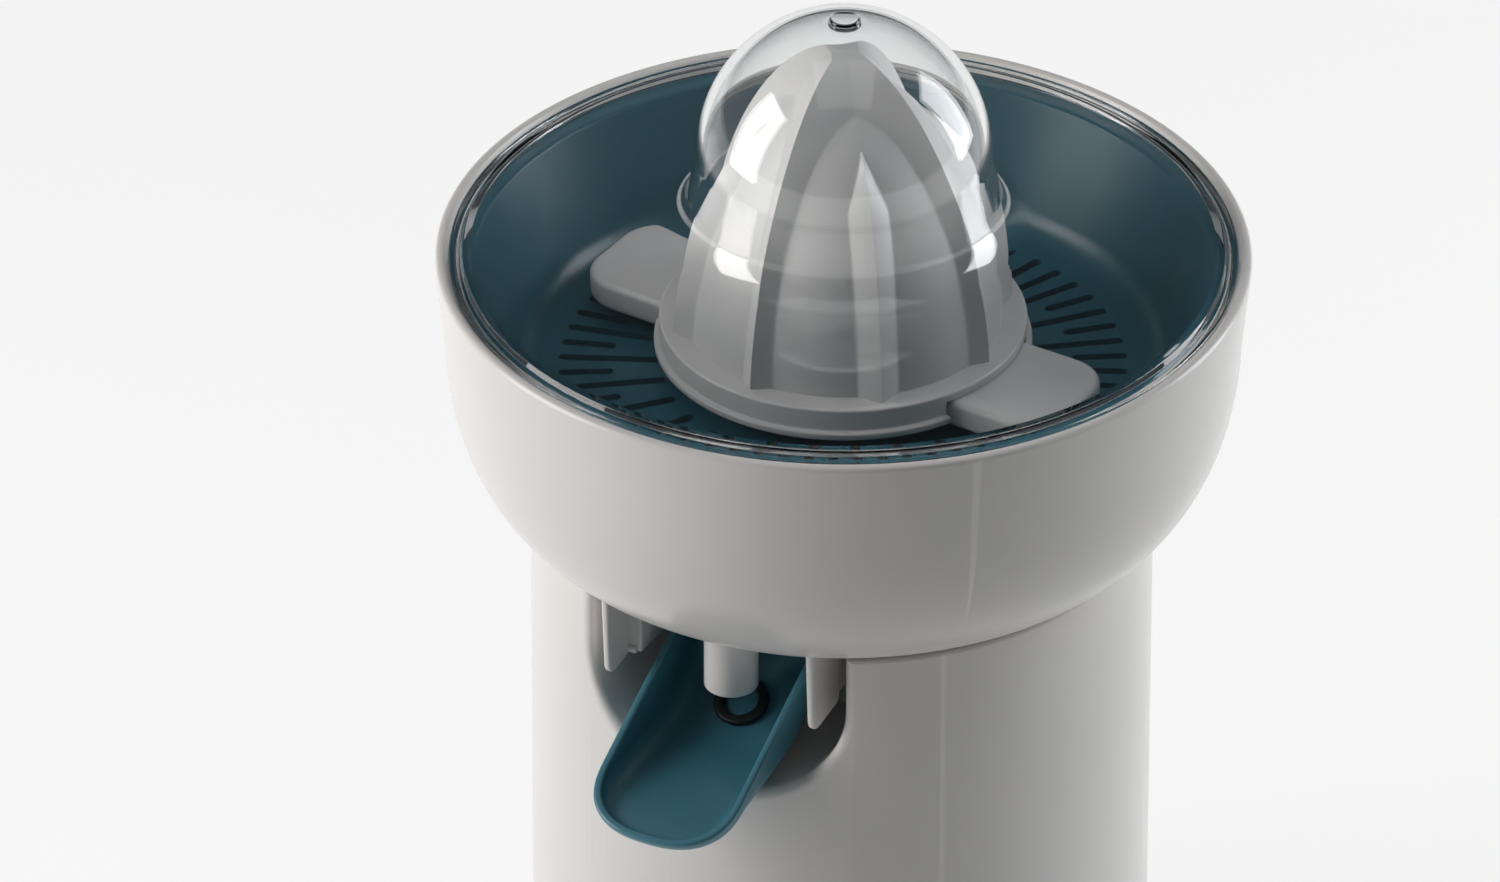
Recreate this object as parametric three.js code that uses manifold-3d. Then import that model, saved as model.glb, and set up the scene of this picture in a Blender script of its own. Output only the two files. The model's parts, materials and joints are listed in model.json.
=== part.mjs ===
// An electric citrus press: motor base, juice bowl, strainer, two stacked reamers, lid and drip-stop spout.
// Millimetres, +Z up. The origin is under the middle of the outline, on the table; the spout points to -Y.
import * as THREE from "three";
import { mergeVertices } from "three/addons/utils/BufferGeometryUtils.js";
import Module from "manifold-3d";

const wasm = await Module();
wasm.setup();

// ---------------------------------------------------------------- driving dimensions
const gap = 0.3; // between pieces that touch
const RAD = Math.PI / 180;

const footHeight = 3.7;
const footRadius = 8;
const footCircle = 52;
const baseCoverThickness = 2.5;
const housingRadius = 70.2; // at the top edge
const housingDraft = 1.0; // wider by this at the bottom edge
const housingWall = 2.6;
const housingLift = 2.5; // bottom edge above the table
const deckTop = 155.1;
const deckThickness = 2.6;

const rimRadius = 91;
const bowlDepth = 64.6; // flat of the underside to the rim
const bowlWall = 2.7;
const bowlSideDrop = 21.2; // the steep upper part of the side
const bowlSideDraft = 1.9;
const bowlFlatRadius = 62.3;
const bowlFloorThickness = 2.6;
const lidLedgeDepth = 6.8; // ledge that carries the strainer, below the rim
const lidLedgeWidth = 2.8;

const strainerWall = 1.8;
const strainerDepth = 32; // rim of the bowl to the strainer's floor
const strainerTaper = 10.6;
const strainerFillet = 8;
const slotCount = 60;
const slotWidth = 2.4;
const slotMargin = 7.8; // slots' outer ends to the foot of the strainer's wall
const slotCover = 1.2; // long slots reach this far under the large reamer
const shortSlotShare = 0.48; // where the short slots start along the long ones

const shaftRadius = 4.5;
const pressTravel = 2.5;
const chimneyWall = 2.4;
const sealWidth = 2.2;

const reamerTurn = -6 * RAD; // where the reamers happen to have stopped
const largeBaseRadius = 38.4;
const largeHeight = 70;
const largeFlangeRadius = 41.2;
const largeFlangeThickness = 2.1;
const largeSkirtHeight = 7.4;
const largeSkirtWall = 2;
const largeLip = 1.2;
const largeWall = 2.4;
const reamerBelowRim = 18; // top of the large reamer's flange below the bowl's rim
const wingMargin = 9.7; // wing tips to the foot of the strainer's wall
const wingHalfWidth = 15.5;
const wingHeight = 7;
const wingCorner = 10;
const smallBaseRadius = 28;
const smallHeight = 44;
const hubWall = 3;

const lidWall = 1.8;
const brimRise = 6.6;
const domeBelly = 23; // height above the bowl's rim where the dome starts to close
const domeClearance = 3; // round the large reamer there
const tipClearance = 4.2; // over its tip
const neckClearance = 1.3; // round the large reamer where the dome meets the brim
const lidFillet = 8;
const nubRadius = 3.5;
const nubHeight = 1.3;

const tubeReach = 55.4; // outlet tube's axis in front of the body's axis
const tubeRadius = 6.1;
const tubeBore = 4.3;
const tubeDrop = 18.9; // below the bowl's underside
const pivotReach = 37.5;
const pivotDrop = 12; // spout's pivot below the bowl's underside
const pinRadius = 1.7;
const spoutHalfWidth = 17.5;
const spoutWall = 1.8;
const spoutLength = 64.7; // pivot to tip
const spoutRim = 5.8; // top edge above the pivot
const spoutFloor = 8.5; // floor below the pivot
const spoutTipLength = 16;
const spoutTipFullness = 2.5; // 2 is an ellipse, more is squarer
const spoutTipLift = 3.2; // outside of the floor below the rim at the tip
const spoutToeLength = 9;
const spoutCorner = 8;
const spoutOpenAngle = 25.5 * RAD;
const sealThickness = 1.2;
const earGap = 7; // between the spout's side and an ear
const earThickness = 1.6;
const earFront = 13; // ear's front edge in front of the tube's axis
const earDrop = 18;
const earBack = 1.9; // ear's rear edge behind the tube's axis
const earLean = 1.8; // front edge further back by this at the tip
const earTipRise = 1.4; // bottom edge higher by this at the back
const armGap = 3.8;
const armThickness = 2.4;

const recessSide = 5; // clear beside the ears
const recessBack = 8.5; // clear behind the pivot
const recessFloorClearance = 1.8; // under the open spout
const recessCorner = 22;
const recessWall = 2.4;

const gearPlateTop = 87;
const gearPlateThickness = 3;
const gearCoverBottom = 112;
const gearCoverThickness = 3;
const gearCoverRadius = 46;
const hubLimit = 10.5; // output gear's hub radius where there is room for it
const hubClearance = 1; // beside the idler's wheel
const bushWall = 2.4;
const outputTeeth = 50;
const pinionTeeth = 10;
const outputModule = 1.3;
const idlerTeeth = 48;
const rotorTeeth = 12;
const idlerModule = 0.9;
const outputWidth = 10;
const idlerWidth = 6;
const idlerAngle = 30 * RAD;
const rotorReach = 33.7; // rotor's axis to the drive shaft's axis
const toothTop = 0.8; // tooth tips outside the pitch circle, in modules
const toothRoot = 1.15;
const axleRadius = 2;
const rotorShaftRadius = 2.2;

const stackHeight = 24;
const stackBottom = 42;
const stackHalfWidth = 24;
const rotorRadius = 12.9;
const airGap = 0.6;
const coreBehind = 20; // core's edge beyond the rotor's axis
const coreLeg = 10;
const windowWidth = 9;
const windowHalf = 13;
const coilThickness = 8;
const bridgeWidth = 16;
const bridgeThickness = 3;
const bridgeScrewSpacing = 19.5;
const screwRadius = 1.6;
const screwHeadRadius = 3.2;
const screwHeadHeight = 1.8;
const fanRadius = 17.5;
const fanHeight = 8;

const switchLength = 20;
const switchWidth = 6.4;
const switchHeight = 14.7;
const plungerRadius = 1.5;
const glandRadius = 6;
const glandBore = 3.4;
const glandHeight = 18;

// ---------------------------------------------------------------- places worked out from them
const underside = deckTop + gap; // flat underside of the bowl
const rimZ = underside + bowlDepth;
const sideZ = rimZ - bowlSideDrop;
const flangeZ = rimZ - reamerBelowRim;
const wingTop = flangeZ - largeFlangeThickness - gap;
const wingBottom = wingTop - wingHeight;
const strainerFloorZ = rimZ - strainerDepth;
const ledgeZ = rimZ - lidLedgeDepth;
const boreRadius = shaftRadius + gap;
const sealOuter = boreRadius + sealWidth;
const collarRadius = sealOuter + gap + 2.4;
const collarTop = deckTop + 6.4;
const chimneyBore = collarRadius + gap;
const chimneyOuter = chimneyBore + chimneyWall;
const chimneyTop = strainerFloorZ + 9;
const pivotZ = underside - pivotDrop;
const tubeEnd = underside - tubeDrop;
const armInner = spoutHalfWidth + armGap;
const earInner = spoutHalfWidth + earGap;
const recessHalf = earInner + earThickness + recessSide;
const sealBack = tubeReach - pivotReach - tubeRadius - 0.2; // seal's edges in front of the pivot
const floorRise = sealBack + 2 * tubeRadius + 6.2; // where the spout's floor starts to rise
const spoutUnder = -spoutFloor - spoutWall;
const toeSlope =
  (spoutRim - 2 * spoutTipLift - spoutUnder - 1) / (spoutLength - spoutToeLength - floorRise);
const leavingReach = (housingRadius - pivotReach) / Math.cos(spoutOpenAngle);
const leavingUnder = spoutUnder + 1 + (leavingReach - floorRise) * toeSlope;
const recessFloor =
  pivotZ -
  leavingReach * Math.sin(spoutOpenAngle) +
  leavingUnder * Math.cos(spoutOpenAngle) -
  recessFloorClearance;
const recessBackY = -(pivotReach - recessBack);
const gearPlateBottom = gearPlateTop - gearPlateThickness;
const hubBottom = gearPlateBottom - 0.5;
const hubTop = gearCoverBottom + gearCoverThickness - 0.7;
const idlerDistance = (outputModule * (outputTeeth + pinionTeeth)) / 2;
const rotorDistance = (idlerModule * (idlerTeeth + rotorTeeth)) / 2;
const idlerTip = idlerModule * (idlerTeeth / 2 + toothTop);
const hubRadius = Math.min(hubLimit, idlerDistance - idlerTip - hubClearance);
const idlerX = idlerDistance * Math.cos(idlerAngle);
const idlerY = idlerDistance * Math.sin(idlerAngle);
const idlerCosine =
  (idlerDistance ** 2 + rotorDistance ** 2 - rotorReach ** 2) / (2 * idlerDistance * rotorDistance);
const rotorAngle = idlerAngle + Math.PI - Math.acos(idlerCosine);
const rotorX = idlerX + rotorDistance * Math.cos(rotorAngle);
const rotorY = idlerY + rotorDistance * Math.sin(rotorAngle);
const idlerBottom = gearPlateTop + 1.3;
const outputBottom = idlerBottom + idlerWidth + 1.7;
const clipTop = hubBottom - gap;
const clipBottom = clipTop - 1;
const shaftBottom = clipBottom - 6.2;
const collarZ = hubTop + 15.7; // shaft's collar that the spring pushes on
const coverTop = footHeight + gap + baseCoverThickness;
const strainerRimInner = rimRadius - bowlWall - lidLedgeWidth - strainerWall - 1.1;
const strainerFloorRadius = strainerRimInner - strainerTaper;
const wingReach = strainerFloorRadius - wingMargin;
const slotOuterRadius = strainerFloorRadius - slotMargin;
const longSlotInner = largeFlangeRadius - slotCover;
const shortSlotInner = longSlotInner + shortSlotShare * (slotOuterRadius - longSlotInner);
const domeZ = rimZ + domeBelly;
const domeShare = (domeZ - flangeZ) / largeHeight;
const domeRadius = largeBaseRadius * ribbedRadius(domeShare, 0) + domeClearance + lidWall;
const domeCap = flangeZ + largeHeight + tipClearance + lidWall - domeZ;
const spoutReach =
  pivotReach + spoutLength * Math.cos(spoutOpenAngle) + spoutRim * Math.sin(spoutOpenAngle);
const bodyAxisY = (spoutReach - rimRadius) / 2;

// ---------------------------------------------------------------- solids
function solid(geometry) {
  const bare = new THREE.BufferGeometry();
  bare.setAttribute("position", geometry.getAttribute("position"));
  if (geometry.index) bare.setIndex(geometry.index);
  const merged = mergeVertices(bare, 1e-4);
  const triVerts = new Uint32Array(merged.index.array);
  const vertProperties = merged.getAttribute("position").array;
  return new wasm.Manifold(new wasm.Mesh({ numProp: 3, vertProperties, triVerts }));
}

function geometryOf(body) {
  const mesh = body.getMesh();
  const geometry = new THREE.BufferGeometry();
  geometry.setAttribute("position", new THREE.BufferAttribute(mesh.vertProperties, 3));
  geometry.setIndex(new THREE.BufferAttribute(mesh.triVerts, 1));
  const faceted = geometry.toNonIndexed();
  faceted.computeVertexNormals();
  return faceted;
}

function placed(geometry, x, y, z) {
  return solid(geometry.translate(x, y, z));
}

function joined(first, ...others) {
  return others.reduce((sum, next) => sum.add(next), first);
}

function cut(first, ...others) {
  return others.reduce((rest, next) => rest.subtract(next), first);
}

// A profile of [radius, height] points turned about +Z.
function turnedGeometry(profile, segments) {
  let area = 0;
  profile.forEach(([r, z], i) => {
    const [nextR, nextZ] = profile[(i + 1) % profile.length];
    area += r * nextZ - nextR * z;
  });
  const ring = profile.map(([r, z]) => new THREE.Vector2(r, z));
  if (area < 0) ring.reverse();
  ring.push(ring[0].clone());
  return new THREE.LatheGeometry(ring, segments).rotateX(Math.PI / 2);
}

function turned(profile, segments = 24, x = 0, y = 0) {
  return placed(turnedGeometry(profile, segments), x, y, 0);
}

function tube(inner, outer, bottom, top, segments = 24, x = 0, y = 0) {
  return turned([[inner, bottom], [outer, bottom], [outer, top], [inner, top]], segments, x, y);
}

function rod(radius, bottom, top, segments = 16, x = 0, y = 0) {
  return placed(
    new THREE.CylinderGeometry(radius, radius, top - bottom, segments).rotateX(Math.PI / 2),
    x,
    y,
    (bottom + top) / 2,
  );
}

// A rod along X.
function crossRod(radius, x0, x1, y, z, segments = 12) {
  const geometry = new THREE.CylinderGeometry(radius, radius, x1 - x0, segments).rotateZ(Math.PI / 2);
  return placed(geometry, (x0 + x1) / 2, y, z);
}

function box(x0, x1, y0, y1, z0, z1) {
  const geometry = new THREE.BoxGeometry(x1 - x0, y1 - y0, z1 - z0);
  return placed(geometry, (x0 + x1) / 2, (y0 + y1) / 2, (z0 + z1) / 2);
}

// An outline in the XY plane raised from bottom to top.
function prism(outline, bottom, top, curveSegments = 6) {
  const geometry = new THREE.ExtrudeGeometry(outline, {
    depth: top - bottom,
    bevelEnabled: false,
    curveSegments,
  });
  return placed(geometry, 0, 0, bottom);
}

// An outline whose x runs along Y and whose y runs along Z, given its width along X.
function sidePlate(outline, x0, x1, curveSegments = 6) {
  const geometry = new THREE.ExtrudeGeometry(outline, {
    depth: x1 - x0,
    bevelEnabled: false,
    curveSegments,
  });
  return placed(geometry.rotateX(Math.PI / 2).rotateZ(Math.PI / 2), x0, 0, 0);
}

// An outline whose x runs along X and whose y runs along Z, given its depth along Y.
function frontPlate(outline, y0, y1, curveSegments = 6) {
  const geometry = new THREE.ExtrudeGeometry(outline, {
    depth: y1 - y0,
    bevelEnabled: false,
    curveSegments,
  });
  return placed(geometry.rotateX(Math.PI / 2), 0, y1, 0);
}

function polygon(points) {
  return new THREE.Shape(points.map(([x, y]) => new THREE.Vector2(x, y)));
}

function arc(centreR, centreZ, radiusR, radiusZ, from, to, steps) {
  return Array.from({ length: steps + 1 }, (_, i) => {
    const angle = (from + ((to - from) * i) / steps) * RAD;
    return [centreR + radiusR * Math.cos(angle), centreZ + radiusZ * Math.sin(angle)];
  });
}

function ringOf(count, start = 0) {
  return Array.from({ length: count }, (_, i) => start + (i * 2 * Math.PI) / count);
}

// ---------------------------------------------------------------- materials
function finish(color, roughness, metalness = 0) {
  return new THREE.MeshStandardMaterial({ color, roughness, metalness });
}

const white = finish(0xdcd8d2, 0.22);
const teal = finish(0x2f6072, 0.35);
const grey = finish(0xa9a9a8, 0.35);
const black = finish(0x17191b, 0.6);
const rubber = finish(0x1c1c1e, 0.85);
const steel = finish(0xa5a8aa, 0.35, 0.9);
const lamination = finish(0x6f7276, 0.55, 0.8);
const copper = finish(0xa8663c, 0.4, 0.7);
const brass = finish(0xb08d4c, 0.4, 0.8);
const nylon = finish(0xe6e3da, 0.45);
const clear = new THREE.MeshStandardMaterial({
  color: 0xf2f6f7,
  roughness: 0.05,
  transparent: true,
  opacity: 0.25,
});

const object = new THREE.Group();
object.position.y = bodyAxisY;
const reamers = new THREE.Group();
reamers.rotation.z = reamerTurn;
object.add(reamers);

function addPiece(name, body, material, group = object) {
  const mesh = new THREE.Mesh(geometryOf(body), material);
  mesh.name = name;
  group.add(mesh);
}

// ---------------------------------------------------------------- housing
function housingRadiusAt(z) {
  return housingRadius + (housingDraft * (deckTop - z)) / (deckTop - housingLift);
}

function bowlUndersideAt(radius) {
  const reach = rimRadius - bowlSideDraft - bowlFlatRadius;
  const share = Math.max(0, (radius - bowlFlatRadius) / reach);
  return sideZ - (sideZ - underside) * Math.sqrt(1 - share * share);
}

function recessOutline(grow) {
  const half = recessHalf + grow;
  const corner = recessCorner + grow;
  const floor = recessFloor - grow;
  const outline = new THREE.Shape();
  outline.moveTo(-half, deckTop + 20);
  outline.lineTo(-half, floor + corner);
  outline.absarc(-half + corner, floor + corner, corner, Math.PI, 1.5 * Math.PI);
  outline.absarc(half - corner, floor + corner, corner, 1.5 * Math.PI, 2 * Math.PI);
  outline.lineTo(half, deckTop + 20);
  return outline;
}

const postPlaces = [65, 195, -20].map((a) => [56 * Math.cos(a * RAD), 56 * Math.sin(a * RAD)]);
const baseBossRadius = 4.5;
const baseBossCircle = housingRadiusAt(housingLift) - housingWall - baseBossRadius + 0.5;
const baseBossPlaces = ringOf(4, 15 * RAD).map((a) => [
  baseBossCircle * Math.cos(a),
  baseBossCircle * Math.sin(a),
]);

function housing() {
  const lipTop = bowlUndersideAt(housingRadius - housingWall) - gap;
  const segments = 44;
  const envelope = turned(
    [[0, housingLift], [housingRadiusAt(housingLift), housingLift], [housingRadius, lipTop], [0, lipTop]],
    segments,
  );
  const inside = turned(
    [
      [0, housingLift - 1],
      [housingRadiusAt(housingLift) - housingWall, housingLift - 1],
      [housingRadius - housingWall, deckTop - deckThickness],
      [0, deckTop - deckThickness],
    ],
    segments,
  );
  const lipInside = rod(housingRadius - housingWall, deckTop, lipTop + 1, segments);
  const pocketShell = frontPlate(recessOutline(recessWall), -housingRadius - 5, recessBackY + recessWall);
  const pocket = frontPlate(recessOutline(0), -housingRadius - 5, recessBackY);
  const posts = postPlaces.map(([x, y]) => rod(4.2, gearPlateTop + gap, deckTop - 1, 12, x, y));
  const bosses = baseBossPlaces.map(([x, y]) => rod(baseBossRadius, coverTop + gap, 31, 12, x, y));
  const postHoles = postPlaces.map(([x, y]) => rod(screwRadius + gap, 0, gearPlateTop + 14, 8, x, y));
  const bossHoles = baseBossPlaces.map(([x, y]) => rod(screwRadius + gap, 0, 24, 8, x, y));
  const shell = cut(envelope, inside).add(pocketShell.intersect(envelope));
  const collar = rod(collarRadius, deckTop - 1, collarTop, 24);
  const outside = cut(rod(housingRadius + 30, 0, 40, segments), envelope);
  return cut(
    cut(shell, lipInside).add(collar).add(joined(...posts, ...bosses)),
    pocket,
    outside,
    rod(sealOuter + gap, deckTop - 20, collarTop + 1, 24),
    glandHole(),
    ...postHoles,
    ...bossHoles,
  );
}

function glandHole() {
  const hole = new THREE.CylinderGeometry(glandRadius, glandRadius, 20, 16);
  return placed(hole, 0, housingRadius, glandHeight);
}

function gland() {
  const wallOut = housingRadiusAt(glandHeight) + gap;
  const wallIn = wallOut - housingWall - 2 * gap;
  const sleeve = glandRadius - gap;
  const profile = [
    [glandBore, wallIn - 5],
    [sleeve, wallIn - 5],
    [sleeve, wallOut + 0.6],
    [glandRadius + 2, wallOut + 0.6],
    [glandRadius + 2, wallOut + 1.6],
    [glandRadius + 1, wallOut + 2.6],
    [glandBore, wallOut + 2.6],
  ];
  const geometry = turnedGeometry(profile, 16).rotateX(-Math.PI / 2);
  return placed(geometry, 0, 0, glandHeight);
}

const footPlaces = ringOf(4, 45 * RAD).map((a) => [footCircle * Math.cos(a), footCircle * Math.sin(a)]);
const footStem = 2.7;

function baseCover() {
  const radius = housingRadiusAt(coverTop) - housingWall - gap;
  const bottom = footHeight + gap;
  const plate = rod(radius, bottom, coverTop, 48);
  const stems = footPlaces.map(([x, y]) => rod(footStem + gap, 0, 20, 12, x, y));
  const screws = baseBossPlaces.map(([x, y]) => rod(screwRadius + gap, 0, 20, 8, x, y));
  const vents = [-3, -2, -1, 0, 1, 2, 3].map((i) =>
    box(rotorX + i * 6 - 1.25, rotorX + i * 6 + 1.25, rotorY - 14, rotorY + 14, 0, 20),
  );
  return cut(plate, ...stems, ...screws, ...vents);
}

function foot([x, y]) {
  const profile = [
    [0, 0],
    [footRadius - 1, 0],
    [footRadius, 1],
    [footRadius, footHeight],
    [footStem, footHeight],
    [footStem, coverTop + gap],
    [footStem + 1.2, coverTop + gap],
    [footStem - 0.8, coverTop + 2.4],
    [0, coverTop + 2.4],
  ];
  return turned(profile, 12, x, y);
}

// A pan-head screw pointing up, its head under headTop.
function screwUp([x, y], headTop, tip) {
  const profile = [
    [0, headTop - screwHeadHeight],
    [screwHeadRadius - 0.8, headTop - screwHeadHeight],
    [screwHeadRadius, headTop],
    [screwRadius, headTop],
    [screwRadius, tip],
    [0, tip],
  ];
  return turned(profile, 8, x, y);
}

// The same screw pointing down, its head above headBottom.
function screwDown([x, y], headBottom, tip) {
  const profile = [
    [0, tip],
    [screwRadius, tip],
    [screwRadius, headBottom],
    [screwHeadRadius, headBottom],
    [screwHeadRadius - 0.8, headBottom + screwHeadHeight],
    [0, headBottom + screwHeadHeight],
  ];
  return turned(profile, 8, x, y);
}

addPiece("base_housing", housing(), white);
addPiece("base_cover", baseCover(), black);
addPiece("cord_gland", gland(), black);
footPlaces.forEach((place, i) => addPiece(`rubber_foot_${i + 1}`, foot(place), rubber));
baseBossPlaces.forEach((place, i) =>
  addPiece(`base_screw_${i + 1}`, screwUp(place, footHeight, coverTop + 12), steel),
);

// ---------------------------------------------------------------- gear plates
const columnPlaces = [200, 320, 110].map((a) => [
  (gearCoverRadius - 5) * Math.cos(a * RAD),
  (gearCoverRadius - 5) * Math.sin(a * RAD),
]);
const bridgeScrews = [-1, 1].map((side) => [rotorX, rotorY + side * bridgeScrewSpacing]);
const bridgeTop = stackBottom + stackHeight + gap + bridgeThickness;
const bridgeBottom = stackBottom - gap - bridgeThickness;
const switchScrewPlace = [11, -15.5];

function gearPlate() {
  const plate = rod(61, gearPlateBottom, gearPlateTop, 32);
  const columns = columnPlaces.map(([x, y]) => rod(4, gearPlateTop - 1, gearCoverBottom - gap, 12, x, y));
  const bosses = bridgeScrews.map(([x, y]) => rod(4.5, bridgeTop + gap, gearPlateBottom + 1, 12, x, y));
  const holes = [
    ...columnPlaces.map(([x, y]) => rod(screwRadius + gap, gearCoverBottom - 12, 130, 8, x, y)),
    ...bridgeScrews.map(([x, y]) => rod(screwRadius + gap, 50, gearPlateTop + 1, 8, x, y)),
    ...postPlaces.map(([x, y]) => rod(screwRadius + gap, 50, gearPlateTop + 1, 8, x, y)),
    rod(screwRadius + gap, 50, gearPlateTop + 1, 8, ...switchScrewPlace),
    rod(hubRadius + gap + bushWall + gap, 50, 100, 20),
    rod(axleRadius + gap, 50, 100, 12, idlerX, idlerY),
    rod(rotorShaftRadius + 1, 50, 100, 12, rotorX, rotorY),
  ];
  return cut(joined(plate, ...columns, ...bosses), ...holes);
}

function gearCover() {
  const top = gearCoverBottom + gearCoverThickness;
  return cut(
    rod(gearCoverRadius, gearCoverBottom, top, 32),
    rod(hubRadius + gap + bushWall + gap, 50, 130, 20),
    rod(axleRadius + gap, 50, 130, 12, idlerX, idlerY),
    ...columnPlaces.map(([x, y]) => rod(screwRadius + gap, 50, 130, 8, x, y)),
  );
}

function hubBush(bottom, top) {
  return tube(hubRadius + gap, hubRadius + gap + bushWall, bottom, top, 20);
}

addPiece("gear_plate", gearPlate(), nylon);
addPiece("gear_cover", gearCover(), nylon);
addPiece("plate_bush", hubBush(gearPlateBottom, gearPlateTop), brass);
addPiece("cover_bush", hubBush(gearCoverBottom, gearCoverBottom + gearCoverThickness), brass);
const gearCoverTop = gearCoverBottom + gearCoverThickness;
addPiece("idler_axle", rod(axleRadius, gearPlateBottom, gearCoverTop, 12, idlerX, idlerY), steel);
columnPlaces.forEach((place, i) => {
  const headBottom = gearCoverBottom + gearCoverThickness + gap;
  addPiece(`cover_screw_${i + 1}`, screwDown(place, headBottom, headBottom - 13), steel);
});
postPlaces.forEach((place, i) => {
  addPiece(`plate_screw_${i + 1}`, screwUp(place, gearPlateBottom - gap, gearPlateTop + 12), steel);
});

// ---------------------------------------------------------------- gears
// A spur gear's outline: straight-sided teeth, the first one centred on the angle start.
function gearOutline(teeth, module, start) {
  const pitch = (module * teeth) / 2;
  const tip = pitch + toothTop * module;
  const root = pitch - toothRoot * module;
  const step = (2 * Math.PI) / teeth;
  const points = ringOf(teeth, start).flatMap((a) => [
    [root * Math.cos(a - 0.32 * step), root * Math.sin(a - 0.32 * step)],
    [tip * Math.cos(a - 0.1 * step), tip * Math.sin(a - 0.1 * step)],
    [tip * Math.cos(a + 0.1 * step), tip * Math.sin(a + 0.1 * step)],
    [root * Math.cos(a + 0.32 * step), root * Math.sin(a + 0.32 * step)],
  ]);
  return polygon(points);
}

function hexRod(radius, bottom, top) {
  return rod(radius, bottom, top, 6);
}

function spur(teeth, module, start, bottom, width, x = 0, y = 0) {
  return prism(gearOutline(teeth, module, start), bottom, bottom + width).translate([x, y, 0]);
}

// The phases put a tooth of one gear in a space of the other along the line of centres.
const idlerPinionStart = idlerAngle + Math.PI + Math.PI / pinionTeeth;
const outputStart = idlerAngle;
const rotorStart = rotorAngle + Math.PI + Math.PI / rotorTeeth;

function outputGear() {
  const wheel = spur(outputTeeth, outputModule, outputStart, outputBottom, outputWidth);
  const hub = rod(hubRadius, hubBottom, hubTop, 20);
  return cut(wheel.add(hub), hexRod(shaftRadius + gap, 50, 150));
}

function idlerGear() {
  const wheel = spur(idlerTeeth, idlerModule, rotorAngle, idlerBottom, idlerWidth, idlerX, idlerY);
  const pinionTop = outputBottom + outputWidth + 1;
  const pinion = spur(
    pinionTeeth,
    outputModule,
    idlerPinionStart,
    idlerBottom + idlerWidth - 1,
    pinionTop - idlerBottom - idlerWidth + 1,
    idlerX,
    idlerY,
  );
  return cut(wheel.add(pinion), rod(axleRadius + gap, 50, 150, 12, idlerX, idlerY));
}

function rotorPinion() {
  const wheel = spur(rotorTeeth, idlerModule, rotorStart, idlerBottom, idlerWidth, rotorX, rotorY);
  return cut(wheel, rod(rotorShaftRadius + gap, 50, 150, 12, rotorX, rotorY));
}

addPiece("output_gear", outputGear(), nylon);
addPiece("idler_gear", idlerGear(), nylon);
addPiece("rotor_pinion", rotorPinion(), brass);

// ---------------------------------------------------------------- motor
const coreFront = coreBehind - (coreBehind + rotorRadius + airGap + 3.5 + windowWidth + coreLeg);
const legInner = coreFront + coreLeg;

function statorCore() {
  const top = stackBottom + stackHeight;
  const x0 = rotorX + coreFront;
  const y0 = rotorY - stackHalfWidth;
  const y1 = rotorY + stackHalfWidth;
  const windowX0 = rotorX + legInner;
  return cut(
    box(x0, rotorX + coreBehind, y0, y1, stackBottom, top),
    rod(rotorRadius + airGap, 20, 90, 24, rotorX, rotorY),
    box(windowX0, windowX0 + windowWidth, rotorY - windowHalf, rotorY + windowHalf, 20, 90),
    ...bridgeScrews.map(([x, y]) => rod(screwRadius + gap, 20, 90, 8, x, y)),
  );
}

const bobbinWall = 1;

function coilBobbin() {
  const x0 = rotorX + coreFront - gap;
  const x1 = rotorX + legInner + gap;
  const z0 = stackBottom - gap;
  const z1 = stackBottom + stackHeight + gap;
  const y0 = rotorY - windowHalf + gap;
  const y1 = rotorY + windowHalf - gap;
  const reach = coilThickness - 0.5;
  const sleeve = box(x0 - bobbinWall, x1 + bobbinWall, y0, y1, z0 - bobbinWall, z1 + bobbinWall);
  const flanges = [y0, y1 - bobbinWall].map((y) =>
    box(x0 - reach, x1 + reach, y, y + bobbinWall, z0 - reach, z1 + reach),
  );
  return cut(joined(sleeve, ...flanges), box(x0, x1, y0 - 1, y1 + 1, z0, z1));
}

function coilWinding() {
  const inner = gap + bobbinWall + gap;
  const outer = gap + coilThickness - 1.2;
  const x0 = rotorX + coreFront;
  const x1 = rotorX + legInner;
  const z0 = stackBottom;
  const z1 = stackBottom + stackHeight;
  const y0 = rotorY - windowHalf + bobbinWall + 2 * gap;
  const y1 = rotorY + windowHalf - bobbinWall - 2 * gap;
  return cut(
    box(x0 - outer, x1 + outer, y0, y1, z0 - outer, z1 + outer),
    box(x0 - inner, x1 + inner, y0 - 1, y1 + 1, z0 - inner, z1 + inner),
  );
}

function bridge(bottom) {
  const half = bridgeScrewSpacing + 4;
  const strap = box(
    rotorX - bridgeWidth / 2,
    rotorX + bridgeWidth / 2,
    rotorY - half,
    rotorY + half,
    bottom,
    bottom + bridgeThickness,
  );
  return cut(
    strap,
    rod(rotorShaftRadius + gap + bushWall + gap, 20, 90, 16, rotorX, rotorY),
    ...bridgeScrews.map(([x, y]) => rod(screwRadius + gap, 20, 90, 8, x, y)),
  );
}

function rotorBush(bottom) {
  const inner = rotorShaftRadius + gap;
  return tube(inner, inner + bushWall, bottom, bottom + bridgeThickness, 16, rotorX, rotorY);
}

const fanBottom = bridgeBottom - 3 - fanHeight;

function coolingFan() {
  const hub = rod(6, fanBottom, fanBottom + fanHeight, 16, rotorX, rotorY);
  const disc = rod(fanRadius, fanBottom + fanHeight - 1.2, fanBottom + fanHeight, 24, rotorX, rotorY);
  const blades = ringOf(8).map((a) =>
    solid(
      new THREE.BoxGeometry(fanRadius - 6, 1.2, fanHeight)
        .translate((fanRadius + 5) / 2, 0, fanBottom + fanHeight / 2)
        .rotateZ(a)
        .translate(rotorX, rotorY, 0),
    ),
  );
  return cut(joined(hub, disc, ...blades), rod(rotorShaftRadius + gap, 0, 90, 12, rotorX, rotorY));
}

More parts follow.
